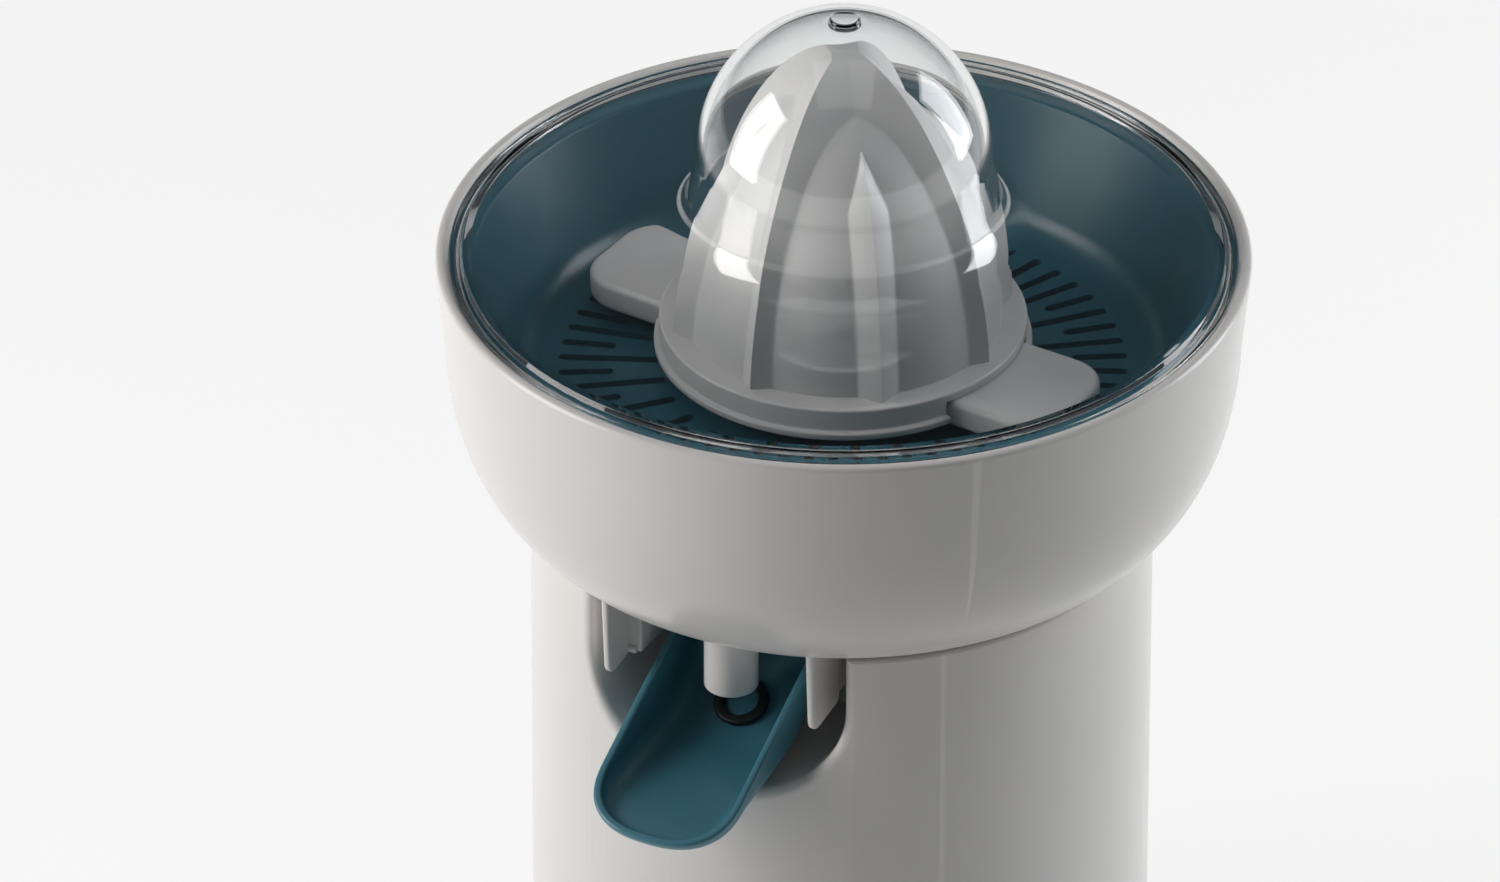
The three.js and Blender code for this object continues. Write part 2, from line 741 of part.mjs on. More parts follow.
addPiece("stator_core", statorCore(), lamination);
addPiece("coil_bobbin", coilBobbin(), nylon);
addPiece("coil_winding", coilWinding(), copper);
addPiece("motor_bridge_top", bridge(bridgeTop - bridgeThickness), steel);
addPiece("motor_bridge_bottom", bridge(bridgeBottom), steel);
addPiece("rotor_bush_top", rotorBush(bridgeTop - bridgeThickness), brass);
addPiece("rotor_bush_bottom", rotorBush(bridgeBottom), brass);
bridgeScrews.forEach((place, i) => {
  addPiece(`motor_screw_${i + 1}`, screwUp(place, bridgeBottom - gap, gearPlateTop - 1), steel);
});

function rotorCore() {
  const bottom = stackBottom + 1;
  const top = stackBottom + stackHeight - 1;
  return tube(rotorShaftRadius + gap, rotorRadius, bottom, top, 24, rotorX, rotorY);
}

const rotorShaftTop = idlerBottom + idlerWidth + 0.3;
const rotorShaft = rod(rotorShaftRadius, fanBottom - 1, rotorShaftTop, 12, rotorX, rotorY);

addPiece("rotor_core", rotorCore(), lamination);
addPiece("rotor_shaft", rotorShaft, steel);
addPiece("cooling_fan", coolingFan(), black);

// ---------------------------------------------------------------- drive shaft
const sealBottom = deckTop + 3.2;
const shaftTop = wingTop + smallHeight - 8;

function driveShaft() {
  const round = rod(shaftRadius, collarZ + 2, wingBottom, 18);
  const lowerHex = hexRod(shaftRadius, shaftBottom, collarZ + 1);
  const upperHex = hexRod(shaftRadius, wingBottom - 1, shaftTop);
  const collar = rod(shaftRadius + 3, collarZ, collarZ + 3, 18);
  const grooveRing = tube(shaftRadius - 1, shaftRadius + 2, clipBottom - gap, clipTop + gap, 18);
  return cut(joined(lowerHex, collar, round, upperHex), grooveRing);
}

function shaftClip() {
  const ring = tube(shaftRadius - 1 + gap, shaftRadius + 3, clipBottom, clipTop, 18);
  const mouth = box(-2, 2, 0, shaftRadius + 5, clipBottom - 1, clipTop + 1);
  return cut(ring, mouth);
}

class SpringPath extends THREE.Curve {
  getPoint(t) {
    const angle = t * springTurns * 2 * Math.PI;
    const z = springBottom + t * (springTop - springBottom);
    return new THREE.Vector3(springRadius * Math.cos(angle), springRadius * Math.sin(angle), z);
  }
}

const springTurns = 4.5;
const springRadius = shaftRadius + 2;
const springWire = 0.6;
const springBottom = hubTop + gap + springWire;
const springTop = collarZ - gap - springWire;

function returnSpring() {
  const section = polygon(ringOf(5).map((a) => [springWire * Math.cos(a), springWire * Math.sin(a)]));
  return solid(new THREE.ExtrudeGeometry(section, { steps: 40, extrudePath: new SpringPath() }));
}

addPiece("deck_bush", tube(boreRadius, sealOuter, deckTop - 7, sealBottom - gap, 24), brass);
addPiece("shaft_seal", tube(boreRadius, sealOuter, sealBottom, sealBottom + 2.8, 24), rubber);
addPiece("drive_shaft", driveShaft(), steel, reamers);
addPiece("shaft_clip", shaftClip(), steel, reamers);
addPiece("return_spring", returnSpring(), steel, reamers);

// ---------------------------------------------------------------- switch
const plungerTop = shaftBottom - gap;
const switchTop = plungerTop - pressTravel - 0.5;
const switchBottom = switchTop - switchHeight;
const plungerLength = 9.7;
const bracketX = switchWidth / 2 + 0.4;

function switchBody() {
  const bore = rod(plungerRadius + gap, plungerTop - plungerLength - pressTravel - 0.5, 100, 10);
  return cut(box(-switchWidth / 2, switchWidth / 2, 3 - switchLength, 3, switchBottom, switchTop), bore);
}

function switchBracket() {
  const leg = sidePlate(
    polygon([
      [-19, switchBottom],
      [-1, switchBottom],
      [-1, switchTop - 1],
      [-12, switchTop - 1],
      [-12, gearPlateBottom - gap],
      [-19, gearPlateBottom - gap],
    ]),
    bracketX,
    bracketX + 1.6,
  );
  const foot = box(bracketX, bracketX + 12, -19, -12, gearPlateBottom - gap - 1.6, gearPlateBottom - gap);
  return cut(leg.add(foot), rod(screwRadius + gap, 50, 100, 8, ...switchScrewPlace));
}

function terminalBlock() {
  const bottom = coverTop + gap;
  const holes = [-24, -16].map((x) => rod(1.6, bottom + 4, bottom + 20, 8, x, -30));
  return cut(box(-29, -11, -36, -24, bottom, bottom + 12), ...holes);
}

addPiece("switch_body", switchBody(), black);
const switchPlunger = rod(plungerRadius, plungerTop - plungerLength, plungerTop, 10);
addPiece("switch_plunger", switchPlunger, finish(0xb02a22, 0.5));
addPiece("switch_bracket", switchBracket(), steel);
addPiece(
  "switch_screw",
  screwUp(switchScrewPlace, gearPlateBottom - 2 * gap - 1.6, gearPlateTop - 0.5),
  steel,
);
addPiece("terminal_block", terminalBlock(), nylon);

// ---------------------------------------------------------------- juice bowl
const bowlSegments = 40;
const bowlSideReach = rimRadius - bowlSideDraft - bowlFlatRadius;

function bowlOuterProfile() {
  const curve = arc(bowlFlatRadius, sideZ, bowlSideReach, sideZ - underside, -90, 0, 7);
  return [[0, underside], ...curve, [rimRadius, rimZ - 0.8], [rimRadius - 0.8, rimZ], [0, rimZ]];
}

function bowlInnerProfile() {
  const floor = underside + bowlFloorThickness;
  const curve = arc(
    bowlFlatRadius,
    sideZ,
    bowlSideReach - bowlWall,
    sideZ - floor,
    -90,
    0,
    7,
  );
  const upper = rimRadius - bowlWall;
  return [
    [0, floor],
    ...curve,
    [upper - lidLedgeWidth, ledgeZ],
    [upper, ledgeZ],
    [upper, rimZ + 1],
    [0, rimZ + 1],
  ];
}

// The hanging fin beside the spout, as an outline in Y and Z.
function earOutline() {
  const front = -(tubeReach + earFront);
  const tip = underside - earDrop;
  const outline = new THREE.Shape();
  outline.moveTo(front, underside + 12);
  outline.lineTo(front + earLean, tip + 3);
  outline.quadraticCurveTo(front + earLean + 0.4, tip, front + earLean + 3, tip);
  outline.lineTo(-tubeReach + earBack, tip + earTipRise);
  outline.lineTo(-tubeReach + earBack, underside + 12);
  return outline;
}

// The arm behind the fin, which holds the spout's pin.
function armOutline() {
  const boss = pinRadius + 3;
  const outline = new THREE.Shape();
  outline.moveTo(-tubeReach - 2, underside + 1);
  outline.lineTo(-tubeReach - 2, pivotZ - boss + 1);
  outline.lineTo(-pivotReach, pivotZ - boss);
  outline.absarc(-pivotReach, pivotZ, boss, -Math.PI / 2, 0);
  outline.lineTo(-pivotReach + boss, underside + 1);
  return outline;
}

function bowlSide(side) {
  const ear = [earInner, earInner + earThickness].map((x) => side * x).sort((a, b) => a - b);
  const arm = [armInner, earInner + 0.4].map((x) => side * x).sort((a, b) => a - b);
  return sidePlate(earOutline(), ...ear).add(sidePlate(armOutline(), ...arm));
}

function juiceBowl() {
  const outer = turned(bowlOuterProfile(), bowlSegments);
  const outside = cut(
    rod(rimRadius + 30, underside, rimZ, bowlSegments),
    turned([[0, underside], ...bowlOuterProfile().slice(1, -1), [0, rimZ]], bowlSegments),
  );
  const sides = joined(bowlSide(-1), bowlSide(1));
  const body = outer.add(cut(sides, outside));
  const shell = cut(body, turned(bowlInnerProfile(), bowlSegments));
  const chimney = rod(chimneyOuter, underside + 0.5, chimneyTop, 24);
  const spoutTube = rod(tubeRadius, tubeEnd, underside + 1, 20, 0, -tubeReach);
  const pinBore = crossRod(pinRadius + gap, -60, 60, -pivotReach, pivotZ);
  return cut(
    joined(shell, chimney, spoutTube),
    rod(chimneyBore, 0, rimZ, 24),
    rod(tubeBore, 0, underside + 10, 16, 0, -tubeReach),
    pinBore,
  );
}

addPiece("juice_bowl", juiceBowl(), white);

// ---------------------------------------------------------------- strainer
const strainerTop = ledgeZ + gap + 1.8;
const strainerHole = chimneyOuter + gap;

function strainer() {
  const flange = rimRadius - bowlWall - 0.9;
  const floorTop = strainerFloorZ;
  const floorBottom = floorTop - strainerWall;
  const fillet = strainerFillet;
  const inner = arc(strainerFloorRadius - fillet, floorTop + fillet, fillet, fillet, -90, -8, 3);
  const outer = arc(
    strainerFloorRadius - fillet,
    floorTop + fillet,
    fillet + strainerWall,
    fillet + strainerWall,
    -8,
    -90,
    3,
  );
  const profile = [
    [strainerHole, floorBottom],
    [strainerHole, floorTop + 2.5],
    [strainerHole + 1.6, floorTop + 2.5],
    [strainerHole + 1.6, floorTop],
    ...inner,
    [strainerRimInner, strainerTop],
    [flange, strainerTop],
    [flange, strainerTop - 1.8],
    [strainerRimInner + strainerWall, strainerTop - 1.8],
    ...outer,
  ];
  const slots = ringOf(slotCount).map((a, i) => {
    const inside = i % 2 ? shortSlotInner : longSlotInner;
    const cutter = new THREE.BoxGeometry(slotOuterRadius - inside, slotWidth, 10);
    cutter.translate((slotOuterRadius + inside) / 2, 0, floorTop).rotateZ(a);
    return solid(cutter);
  });
  return cut(turned(profile, bowlSegments), ...slots);
}

addPiece("strainer", strainer(), teal);

// ---------------------------------------------------------------- reamers
// Radius of a ribbed reamer at a share of its height, 0 at the base, and an angle from a main rib.
function ribbedRadius(share, angle) {
  const eighth = Math.PI / 4;
  const turn = Math.abs(((angle + 2 * Math.PI * 4 + eighth) % (2 * eighth)) - eighth);
  const crest = Math.pow(1 - Math.pow(share, 1.6), 0.54);
  const valley = crest * (0.8 - 0.22 * share);
  const flank =
    (crest * valley * Math.sin(eighth)) /
    (crest * Math.sin(turn) + valley * Math.sin(eighth - turn));
  const body = coreRadius(share);
  const fade = Math.min(1, Math.max(0, (0.76 - share) / 0.16));
  const ribHeight = 0.085 * Math.sqrt(fade);
  const ribHalf = 0.12 * fade;
  const across = (eighth - turn) * body;
  const rib = ribHalf > 0 ? body + ribHeight * Math.max(0, 1 - across / ribHalf) : body;
  return Math.max(flank, body, rib);
}

function coreRadius(share) {
  return share < 0.9 ? 0.927 * Math.pow(1 - Math.pow(share / 0.9, 1.65), 0.53) : 0;
}

// Radius of the largest round core inside the ribs.
function plainRadius(share) {
  const crest = Math.pow(1 - Math.pow(share, 1.6), 0.54);
  return Math.max(coreRadius(share), crest * (0.8 - 0.22 * share));
}

// A closed ribbed cone from shares of its height, standing on the height base.
function ribbedCone(radius, height, base, around, shares) {
  const positions = [];
  const faces = [];
  shares.forEach((share) => {
    ringOf(around).forEach((a) => {
      const r = radius * ribbedRadius(share, a);
      positions.push(r * Math.cos(a), r * Math.sin(a), base + height * share);
    });
  });
  const last = shares.length - 1;
  const bottom = positions.length / 3;
  positions.push(0, 0, base, 0, 0, base + height);
  for (let j = 0; j < around; j++) {
    const next = (j + 1) % around;
    for (let i = 0; i < last; i++) {
      const a = i * around + j;
      const b = i * around + next;
      faces.push(a, b, a + around, b, b + around, a + around);
    }
    faces.push(bottom, next, j);
    faces.push(bottom + 1, last * around + j, last * around + next);
  }
  const geometry = new THREE.BufferGeometry();
  geometry.setAttribute("position", new THREE.Float32BufferAttribute(positions, 3));
  geometry.setIndex(faces);
  return solid(geometry);
}

// The round hollow under a ribbed cone, a wall thinner than its core.
function coneHollow(radius, height, base, wall, segments) {
  const shares = [0, 0.2, 0.4, 0.55, 0.68, 0.78];
  const profile = shares.map((share) => [radius * plainRadius(share) - wall, base + height * share]);
  return turned([[0, base - 0.5], [profile[0][0], base - 0.5], ...profile, [0, profile.at(-1)[1]]], segments);
}

function wingOutline(grow) {
  const half = wingHalfWidth + grow;
  const reach = wingReach + grow;
  const corner = wingCorner + grow;
  const outline = new THREE.Shape();
  outline.moveTo(-reach + corner, -half);
  outline.lineTo(reach - corner, -half);
  outline.absarc(reach - corner, -half + corner, corner, -Math.PI / 2, 0);
  outline.absarc(reach - corner, half - corner, corner, 0, Math.PI / 2);
  outline.lineTo(-reach + corner, half);
  outline.absarc(-reach + corner, half - corner, corner, Math.PI / 2, Math.PI);
  outline.absarc(-reach + corner, -half + corner, corner, Math.PI, 1.5 * Math.PI);
  return outline;
}

const skirtInner = largeFlangeRadius - largeSkirtWall;
const largeHollowBase = flangeZ - largeFlangeThickness;

function largeReamer() {
  const shares = [0, 0.14, 0.3, 0.45, 0.59, 0.7, 0.79, 0.88, 0.94];
  const cone = ribbedCone(largeBaseRadius, largeHeight, flangeZ, 40, shares);
  const lipTop = flangeZ - largeSkirtHeight + 1.8;
  const base = turned(
    [
      [0, flangeZ - largeSkirtHeight],
      [largeFlangeRadius + largeLip, flangeZ - largeSkirtHeight],
      [largeFlangeRadius + largeLip, lipTop - 0.6],
      [largeFlangeRadius, lipTop],
      [largeFlangeRadius, flangeZ - 0.4],
      [largeFlangeRadius - 0.4, flangeZ + 0.01],
      [0, flangeZ + 0.01],
    ],
    40,
  );
  const hollow = coneHollow(largeBaseRadius, largeHeight, flangeZ, largeWall, 24);
  const throat = rod(largeBaseRadius * plainRadius(0) - largeWall, largeHollowBase - 1, flangeZ, 24);
  const notches = prism(wingOutline(1.2), wingBottom - 5, largeHollowBase, 4);
  return cut(
    cone.add(base),
    hollow,
    throat,
    rod(skirtInner, flangeZ - 20, largeHollowBase, 40),
    notches,
  );
}

const smallDiscRadius = skirtInner - 1.2;
const hubRadiusOuter = shaftRadius + gap + hubWall;

function smallReamer() {
  const shares = [0, 0.15, 0.35, 0.52, 0.68, 0.8, 0.9];
  const cone = ribbedCone(smallBaseRadius, smallHeight, wingTop - 0.01, 24, shares);
  const hollowTop = wingTop - 2;
  const disc = rod(smallDiscRadius, wingBottom, wingTop, 32);
  const wings = prism(wingOutline(0), wingBottom, wingTop, 4);
  const wingHollow = prism(wingOutline(-2), wingBottom - 5, hollowTop, 4);
  const discHollow = rod(smallDiscRadius - 2, wingBottom - 5, hollowTop, 32);
  const hollow = coneHollow(smallBaseRadius, smallHeight, wingTop, 3, 16);
  const throat = rod(smallBaseRadius * plainRadius(0) - 3, hollowTop - 1, wingTop, 16);
  const hub = rod(hubRadiusOuter, chimneyTop + gap + pressTravel + 1, wingTop + smallHeight * 0.8, 16);
  const shell = cut(joined(cone, disc, wings), wingHollow, discHollow, hollow, throat);
  return cut(shell.add(hub), hexRod(shaftRadius + gap, wingBottom - 10, shaftTop + gap + 0.2));
}

addPiece("large_reamer", largeReamer(), grey, reamers);
addPiece("small_reamer", smallReamer(), grey, reamers);

// ---------------------------------------------------------------- drip-stop spout
// All in the level position, with the pivot at the origin; -Y is along the spout.
function spoutPlan(inset) {
  const half = spoutHalfWidth - inset;
  const back = 4 - inset;
  const tipStart = -(spoutLength - spoutTipLength);
  const outline = new THREE.Shape();
  outline.moveTo(half, back);
  outline.lineTo(-half, back);
  outline.lineTo(-half, tipStart);
  const power = 2 / spoutTipFullness;
  const steps = 14;
  for (let i = 1; i < steps; i++) {
    const angle = (Math.PI * i) / steps;
    const across = Math.sign(Math.cos(angle)) * Math.abs(Math.cos(angle)) ** power;
    outline.lineTo(-half * across, tipStart - (spoutTipLength - inset) * Math.sin(angle) ** power);
  }
  outline.lineTo(half, tipStart);
  return outline;
}

function spoutSideView(inset) {
  const floor = spoutUnder + inset;
  const tipFloor = spoutRim - spoutTipLift + inset * 1.4;
  const heel = sealBack - 5.6;
  const top = spoutRim + (inset > 0 ? 2 : 0);
  return polygon([
    [-heel - inset, floor],
    [12 - heel - inset, floor + 13],
    [12 - heel - inset, top],
    [-spoutLength - 2, top],
    [-spoutLength - 2, tipFloor],
    [-spoutLength + spoutToeLength, tipFloor - spoutTipLift],
    [-floorRise, floor + 1],
    [5 - floorRise, floor],
  ]);
}

function spoutFrontView(inset) {
  const half = spoutHalfWidth - inset;
  const floor = spoutUnder + inset;
  const corner = spoutCorner - inset;
  const outline = new THREE.Shape();
  outline.moveTo(half, spoutRim + 3);
  outline.lineTo(-half, spoutRim + 3);
  outline.lineTo(-half, floor + corner);
  outline.absarc(-half + corner, floor + corner, corner, Math.PI, 1.5 * Math.PI);
  outline.absarc(half - corner, floor + corner, corner, 1.5 * Math.PI, 2 * Math.PI);
  return outline;
}

function spoutBlock(inset) {
  const plan = prism(spoutPlan(inset), -40, spoutRim + (inset > 0 ? 1 : 0), 8);
  const side = sidePlate(spoutSideView(inset), -40, 40);
  const front = frontPlate(spoutFrontView(inset), -100, 20);
  return plan.intersect(side).intersect(front);
}

function dripSpout() {
  const pinEnd = armInner + armThickness - 0.4;
  const bosses = [-1, 1].map((side) => {
    const [x0, x1] = [spoutHalfWidth - 1, armInner - gap].map((x) => side * x).sort((a, b) => a - b);
    return crossRod(pinRadius + 1.8, x0, x1, 0, 0);
  });
  const pins = [-1, 1].map((side) => {
    const [x0, x1] = [spoutHalfWidth - 1, pinEnd].map((x) => side * x).sort((a, b) => a - b);
    return crossRod(pinRadius, x0, x1, 0, 0);
  });
  return joined(cut(spoutBlock(0), spoutBlock(spoutWall)), ...bosses, ...pins);
}

function spoutSeal() {
  const bottom = -spoutFloor + gap;
  const inner = tubeRadius - 2.2;
  const outer = tubeRadius + 0.2;
  return tube(inner, outer, bottom, bottom + sealThickness, 20, 0, pivotReach - tubeReach);
}

const spout = new THREE.Group();
spout.position.set(0, -pivotReach, pivotZ);
spout.rotation.x = spoutOpenAngle;
object.add(spout);
addPiece("drip_spout", dripSpout(), teal, spout);
addPiece("spout_seal", spoutSeal(), rubber, spout);

// ---------------------------------------------------------------- lid
function lid() {
  const outer = rimRadius - bowlWall - gap;
  const foot = strainerTop + gap;
  const top = rimZ - 0.4;
  const brimZ = rimZ + 0.9;
  const brimTop = brimZ + brimRise;
  const neckShare = (brimTop + lidFillet - flangeZ) / largeHeight;
  const neck = largeBaseRadius * ribbedRadius(neckShare, 0) + neckClearance + lidWall;
  const dome = arc(0, domeZ, domeRadius, domeCap, 0, 90, 6).slice(0, -1);
  const inside = arc(0, domeZ, domeRadius - lidWall, domeCap - lidWall, 90, 0, 5).slice(1);
  const flare = arc(neck + lidFillet, brimTop + lidFillet, lidFillet, lidFillet, 270, 188, 3);
  const flareIn = arc(
    neck + lidFillet,
    brimTop + lidFillet,
    lidFillet + lidWall,
    lidFillet + lidWall,
    188,
    270,
    3,
  );
  const profile = [
    [outer - lidWall, foot],
    [outer, foot],
    [outer, top - 0.5],
    [outer - 0.8, top],
    [outer - 2.6, top],
    [outer - 3.4, brimZ],
    [outer - 5, brimZ],
    ...flare,
    ...dome,
    [nubRadius, domeZ + domeCap],
    [nubRadius, domeZ + domeCap + nubHeight],
    [0, domeZ + domeCap + nubHeight],
    [0, domeZ + domeCap - lidWall],
    ...inside,
    ...flareIn,
    [outer - 5, brimZ - lidWall],
    [outer - lidWall, brimZ - lidWall - 1],
  ];
  const ring = profile.map(([r, z]) => new THREE.Vector2(r, z));
  ring.push(ring[0].clone());
  return solid(new THREE.LatheGeometry(ring, bowlSegments).rotateX(Math.PI / 2));
}

addPiece("lid", lid(), clear);

export default object;
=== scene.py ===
"""Looks of the citrus press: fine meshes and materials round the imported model, which stays as the frame."""
import json
import math

import bmesh
import bpy
from mathutils import Matrix, Vector


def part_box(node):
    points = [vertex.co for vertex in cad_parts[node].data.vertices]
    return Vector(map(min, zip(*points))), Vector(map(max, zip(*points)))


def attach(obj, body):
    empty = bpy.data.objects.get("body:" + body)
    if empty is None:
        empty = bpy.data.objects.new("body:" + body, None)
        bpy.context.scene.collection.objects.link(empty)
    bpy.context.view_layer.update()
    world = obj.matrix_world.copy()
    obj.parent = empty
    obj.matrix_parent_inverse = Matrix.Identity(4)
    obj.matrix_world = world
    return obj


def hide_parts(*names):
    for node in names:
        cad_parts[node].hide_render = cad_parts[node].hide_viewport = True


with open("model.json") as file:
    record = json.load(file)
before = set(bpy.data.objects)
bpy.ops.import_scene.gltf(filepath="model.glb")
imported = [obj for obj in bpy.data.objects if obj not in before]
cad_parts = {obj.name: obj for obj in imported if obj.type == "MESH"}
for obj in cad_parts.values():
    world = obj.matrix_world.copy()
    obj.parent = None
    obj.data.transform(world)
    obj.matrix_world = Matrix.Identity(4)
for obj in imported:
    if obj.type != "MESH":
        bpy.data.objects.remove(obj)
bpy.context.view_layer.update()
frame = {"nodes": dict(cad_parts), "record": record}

# ------------------------------------------------------------------ sizes
# Lengths below are millimetres, measured from the drive shaft's axis and from the table.
MM = 0.001
bowl_low, bowl_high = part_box("juice_bowl")
AXIS_Y = (bowl_low.y + bowl_high.y) / 2
RIM_RADIUS = (bowl_high.x - bowl_low.x) / 2 / MM
RIM = bowl_high.z / MM


def top_of(node):
    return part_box(node)[1].z / MM


def bottom_of(node):
    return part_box(node)[0].z / MM


UNDERSIDE = RIM - 64.6
SIDE_DROP = 21.2
SIDE_DRAFT = 1.9
FLAT_RADIUS = 62.3
BOWL_WALL = 2.7
FLOOR_THICKNESS = 2.6
LEDGE_DEPTH = 6.8
LEDGE_WIDTH = 2.8
GAP = 0.3

HOUSING_TOP_RADIUS = 70.2
HOUSING_BOTTOM_RADIUS = 71.2
HOUSING_WALL = 2.6
HOUSING_BOTTOM = bottom_of("base_housing")
COLLAR_TOP = top_of("base_housing")
DECK_TOP = UNDERSIDE - GAP
DECK_THICKNESS = 2.6
COLLAR_RADIUS = 9.7
COLLAR_BORE = 7.3
CHIMNEY_BORE = COLLAR_RADIUS + GAP
CHIMNEY_OUTER = CHIMNEY_BORE + 2.4

PIVOT_Y = -37.5
PIVOT_Z = UNDERSIDE - 12
OPEN_ANGLE = math.radians(25.5)
TUBE_Y = -55.4
TUBE_RADIUS = 6.1
TUBE_BORE = 4.3
REAMER_TURN = math.radians(-6)

body_nodes = frame["record"]["behaviour"]["bodies"]
body_names = {node: body for body, nodes in body_nodes.items() for node in nodes}


# ------------------------------------------------------------------ mesh helpers
def place(x, y, z):
    return Vector((x * MM, AXIS_Y + y * MM, z * MM))


def build(name, verts, faces):
    """A mesh object from millimetre vertices, with its faces turned outwards."""
    mesh = bpy.data.meshes.new(name)
    mesh.from_pydata([place(*v) for v in verts], [], faces)
    bm = bmesh.new()
    bm.from_mesh(mesh)
    bmesh.ops.remove_doubles(bm, verts=bm.verts, dist=1e-7)
    bmesh.ops.recalc_face_normals(bm, faces=bm.faces)
    bm.to_mesh(mesh)
    bm.free()
    piece = bpy.data.objects.new(name, mesh)
    bpy.context.scene.collection.objects.link(piece)
    return piece


def corner_arc(before, corner, after, radius, steps):
    """The points of a fillet of that radius in the corner of an outline."""
    here = Vector(corner)
    to_before = (Vector(before) - here).normalized()
    to_after = (Vector(after) - here).normalized()
    half = to_before.angle(to_after) / 2
    if radius <= 0 or half > math.radians(89):
        return [tuple(here)]
    reach = radius / math.tan(half)
    centre = here + (to_before + to_after).normalized() * (radius / math.sin(half))
    start = here + to_before * reach - centre
    end = here + to_after * reach - centre
    first = math.atan2(start.y, start.x)
    sweep = (math.atan2(end.y, end.x) - first + math.pi) % (2 * math.pi) - math.pi
    angles = [first + sweep * i / steps for i in range(steps + 1)]
    return [(centre.x + radius * math.cos(a), centre.y + radius * math.sin(a)) for a in angles]


def rounded(corners, steps=4):
    """A closed outline of (x, y, fillet radius) corners with its corners rounded."""
    points = []
    for i, (x, y, radius) in enumerate(corners):
        before = corners[i - 1][:2]
        after = corners[(i + 1) % len(corners)][:2]
        points += corner_arc(before, (x, y), after, radius, steps)
    return points


def arc(centre_x, centre_y, radius_x, radius_y, start, end, steps):
    points = []
    for i in range(steps + 1):
        angle = math.radians(start + (end - start) * i / steps)
        points.append((centre_x + radius_x * math.cos(angle), centre_y + radius_y * math.sin(angle)))
    return points


def sharp(points):
    return [(x, y, 0) for x, y in points]


def lathe(name, ring, segments=192, x=0.0, y=0.0):
    """A closed ring of (radius, height) turned about the vertical through (x, y)."""
    verts = []
    for i in range(segments):
        angle = 2 * math.pi * i / segments
        verts += [(x + r * math.cos(angle), y + r * math.sin(angle), z) for r, z in ring]
    count = len(ring)
    faces = []
    for i in range(segments):
        here, following = i * count, (i + 1) % segments * count
        for j in range(count):
            k = (j + 1) % count
            if ring[j][0] < 1e-6 and ring[k][0] < 1e-6:
                continue
            faces.append((here + j, here + k, following + k, following + j))
    return tidy(build(name, verts, faces))


def tidy(piece):
    """Drops faces that collapsed on the axis."""
    bm = bmesh.new()
    bm.from_mesh(piece.data)
    bmesh.ops.dissolve_degenerate(bm, edges=bm.edges, dist=1e-7)
    bmesh.ops.recalc_face_normals(bm, faces=bm.faces)
    bm.to_mesh(piece.data)
    bm.free()
    return piece


def loft(name, rings):
    """Closed rings of equal length joined in order, with both ends capped."""
    count = len(rings[0])
    verts = [point for ring in rings for point in ring]
    faces = []
    for i in range(len(rings) - 1):
        for j in range(count):
            k = (j + 1) % count
            faces.append((i * count + j, i * count + k, (i + 1) * count + k, (i + 1) * count + j))
    faces.append(tuple(reversed(range(count))))
    faces.append(tuple(range((len(rings) - 1) * count, len(rings) * count)))
    return build(name, verts, faces)


def slab(name, outline, low, high, edge=0.5, axis="z", steps=3):
    """An outline raised from low to high along an axis, with its edges rounded.

    outline(inset) gives the closed outline moved inwards by inset."""
    levels = [(low + edge - edge * math.cos(a), edge - edge * math.sin(a)) for a in
              [math.pi / 2 * i / steps for i in range(steps + 1)]]
    levels += [(high - (level - low), inset) for level, inset in reversed(levels)]
    rings = []
    for height, inset in levels:
        ring = outline(inset)
        if axis == "x":
            rings.append([(height, a, b) for a, b in ring])
        elif axis == "y":
            rings.append([(a, height, b) for a, b in ring])
        else:
            rings.append([(a, b, height) for a, b in ring])
    return loft(name, rings)


def combine(piece, other, operation):
    """Applies a boolean with another object, and drops that object."""
    cutter = piece.modifiers.new("combine", "BOOLEAN")
    cutter.operation = operation
    cutter.solver = "MANIFOLD"
    cutter.object = other
    bpy.context.view_layer.update()
    shaped = piece.evaluated_get(bpy.context.evaluated_depsgraph_get())
    mesh = bpy.data.meshes.new_from_object(shaped)
    if not mesh.polygons:
        raise RuntimeError(f"{operation} of {piece.name} with {other.name} left nothing")
    piece.modifiers.clear()
    old, piece.data = piece.data, mesh
    bpy.data.meshes.remove(old)
    bpy.data.objects.remove(other)
    return piece


def add(piece, other):
    return combine(piece, other, "UNION")


def cut(piece, other):
    return combine(piece, other, "DIFFERENCE")


def turn(piece, angle, centre=(0, 0, 0), axis="Z"):
    """Turns a piece's mesh about an axis through a millimetre point."""
    pivot = place(*centre)
    spin = Matrix.Translation(pivot) @ Matrix.Rotation(angle, 4, axis) @ Matrix.Translation(-pivot)
    piece.data.transform(spin)
    return piece


def finish_piece(piece, material, node, crease=32, extra=()):
    """Gives a piece its material, smooth shading and body, and hides the CAD nodes it stands for."""
    piece.data.materials.clear()
    piece.data.materials.append(material)
    piece.data.shade_smooth()
    piece.data.set_sharp_from_angle(angle=math.radians(crease))
    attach(piece, body_names[node])
    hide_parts(node, *extra)
    return piece


slots = {entry["node"]: entry["material_slot"] for entry in frame["record"]["subparts"]}


# ------------------------------------------------------------------ materials
def linear(red, green, blue):
    """A 0-255 screen colour as linear light."""
    def channel(value):
        share = value / 255
        return share / 12.92 if share <= 0.04045 else ((share + 0.055) / 1.055) ** 2.4
    return (channel(red), channel(green), channel(blue), 1)


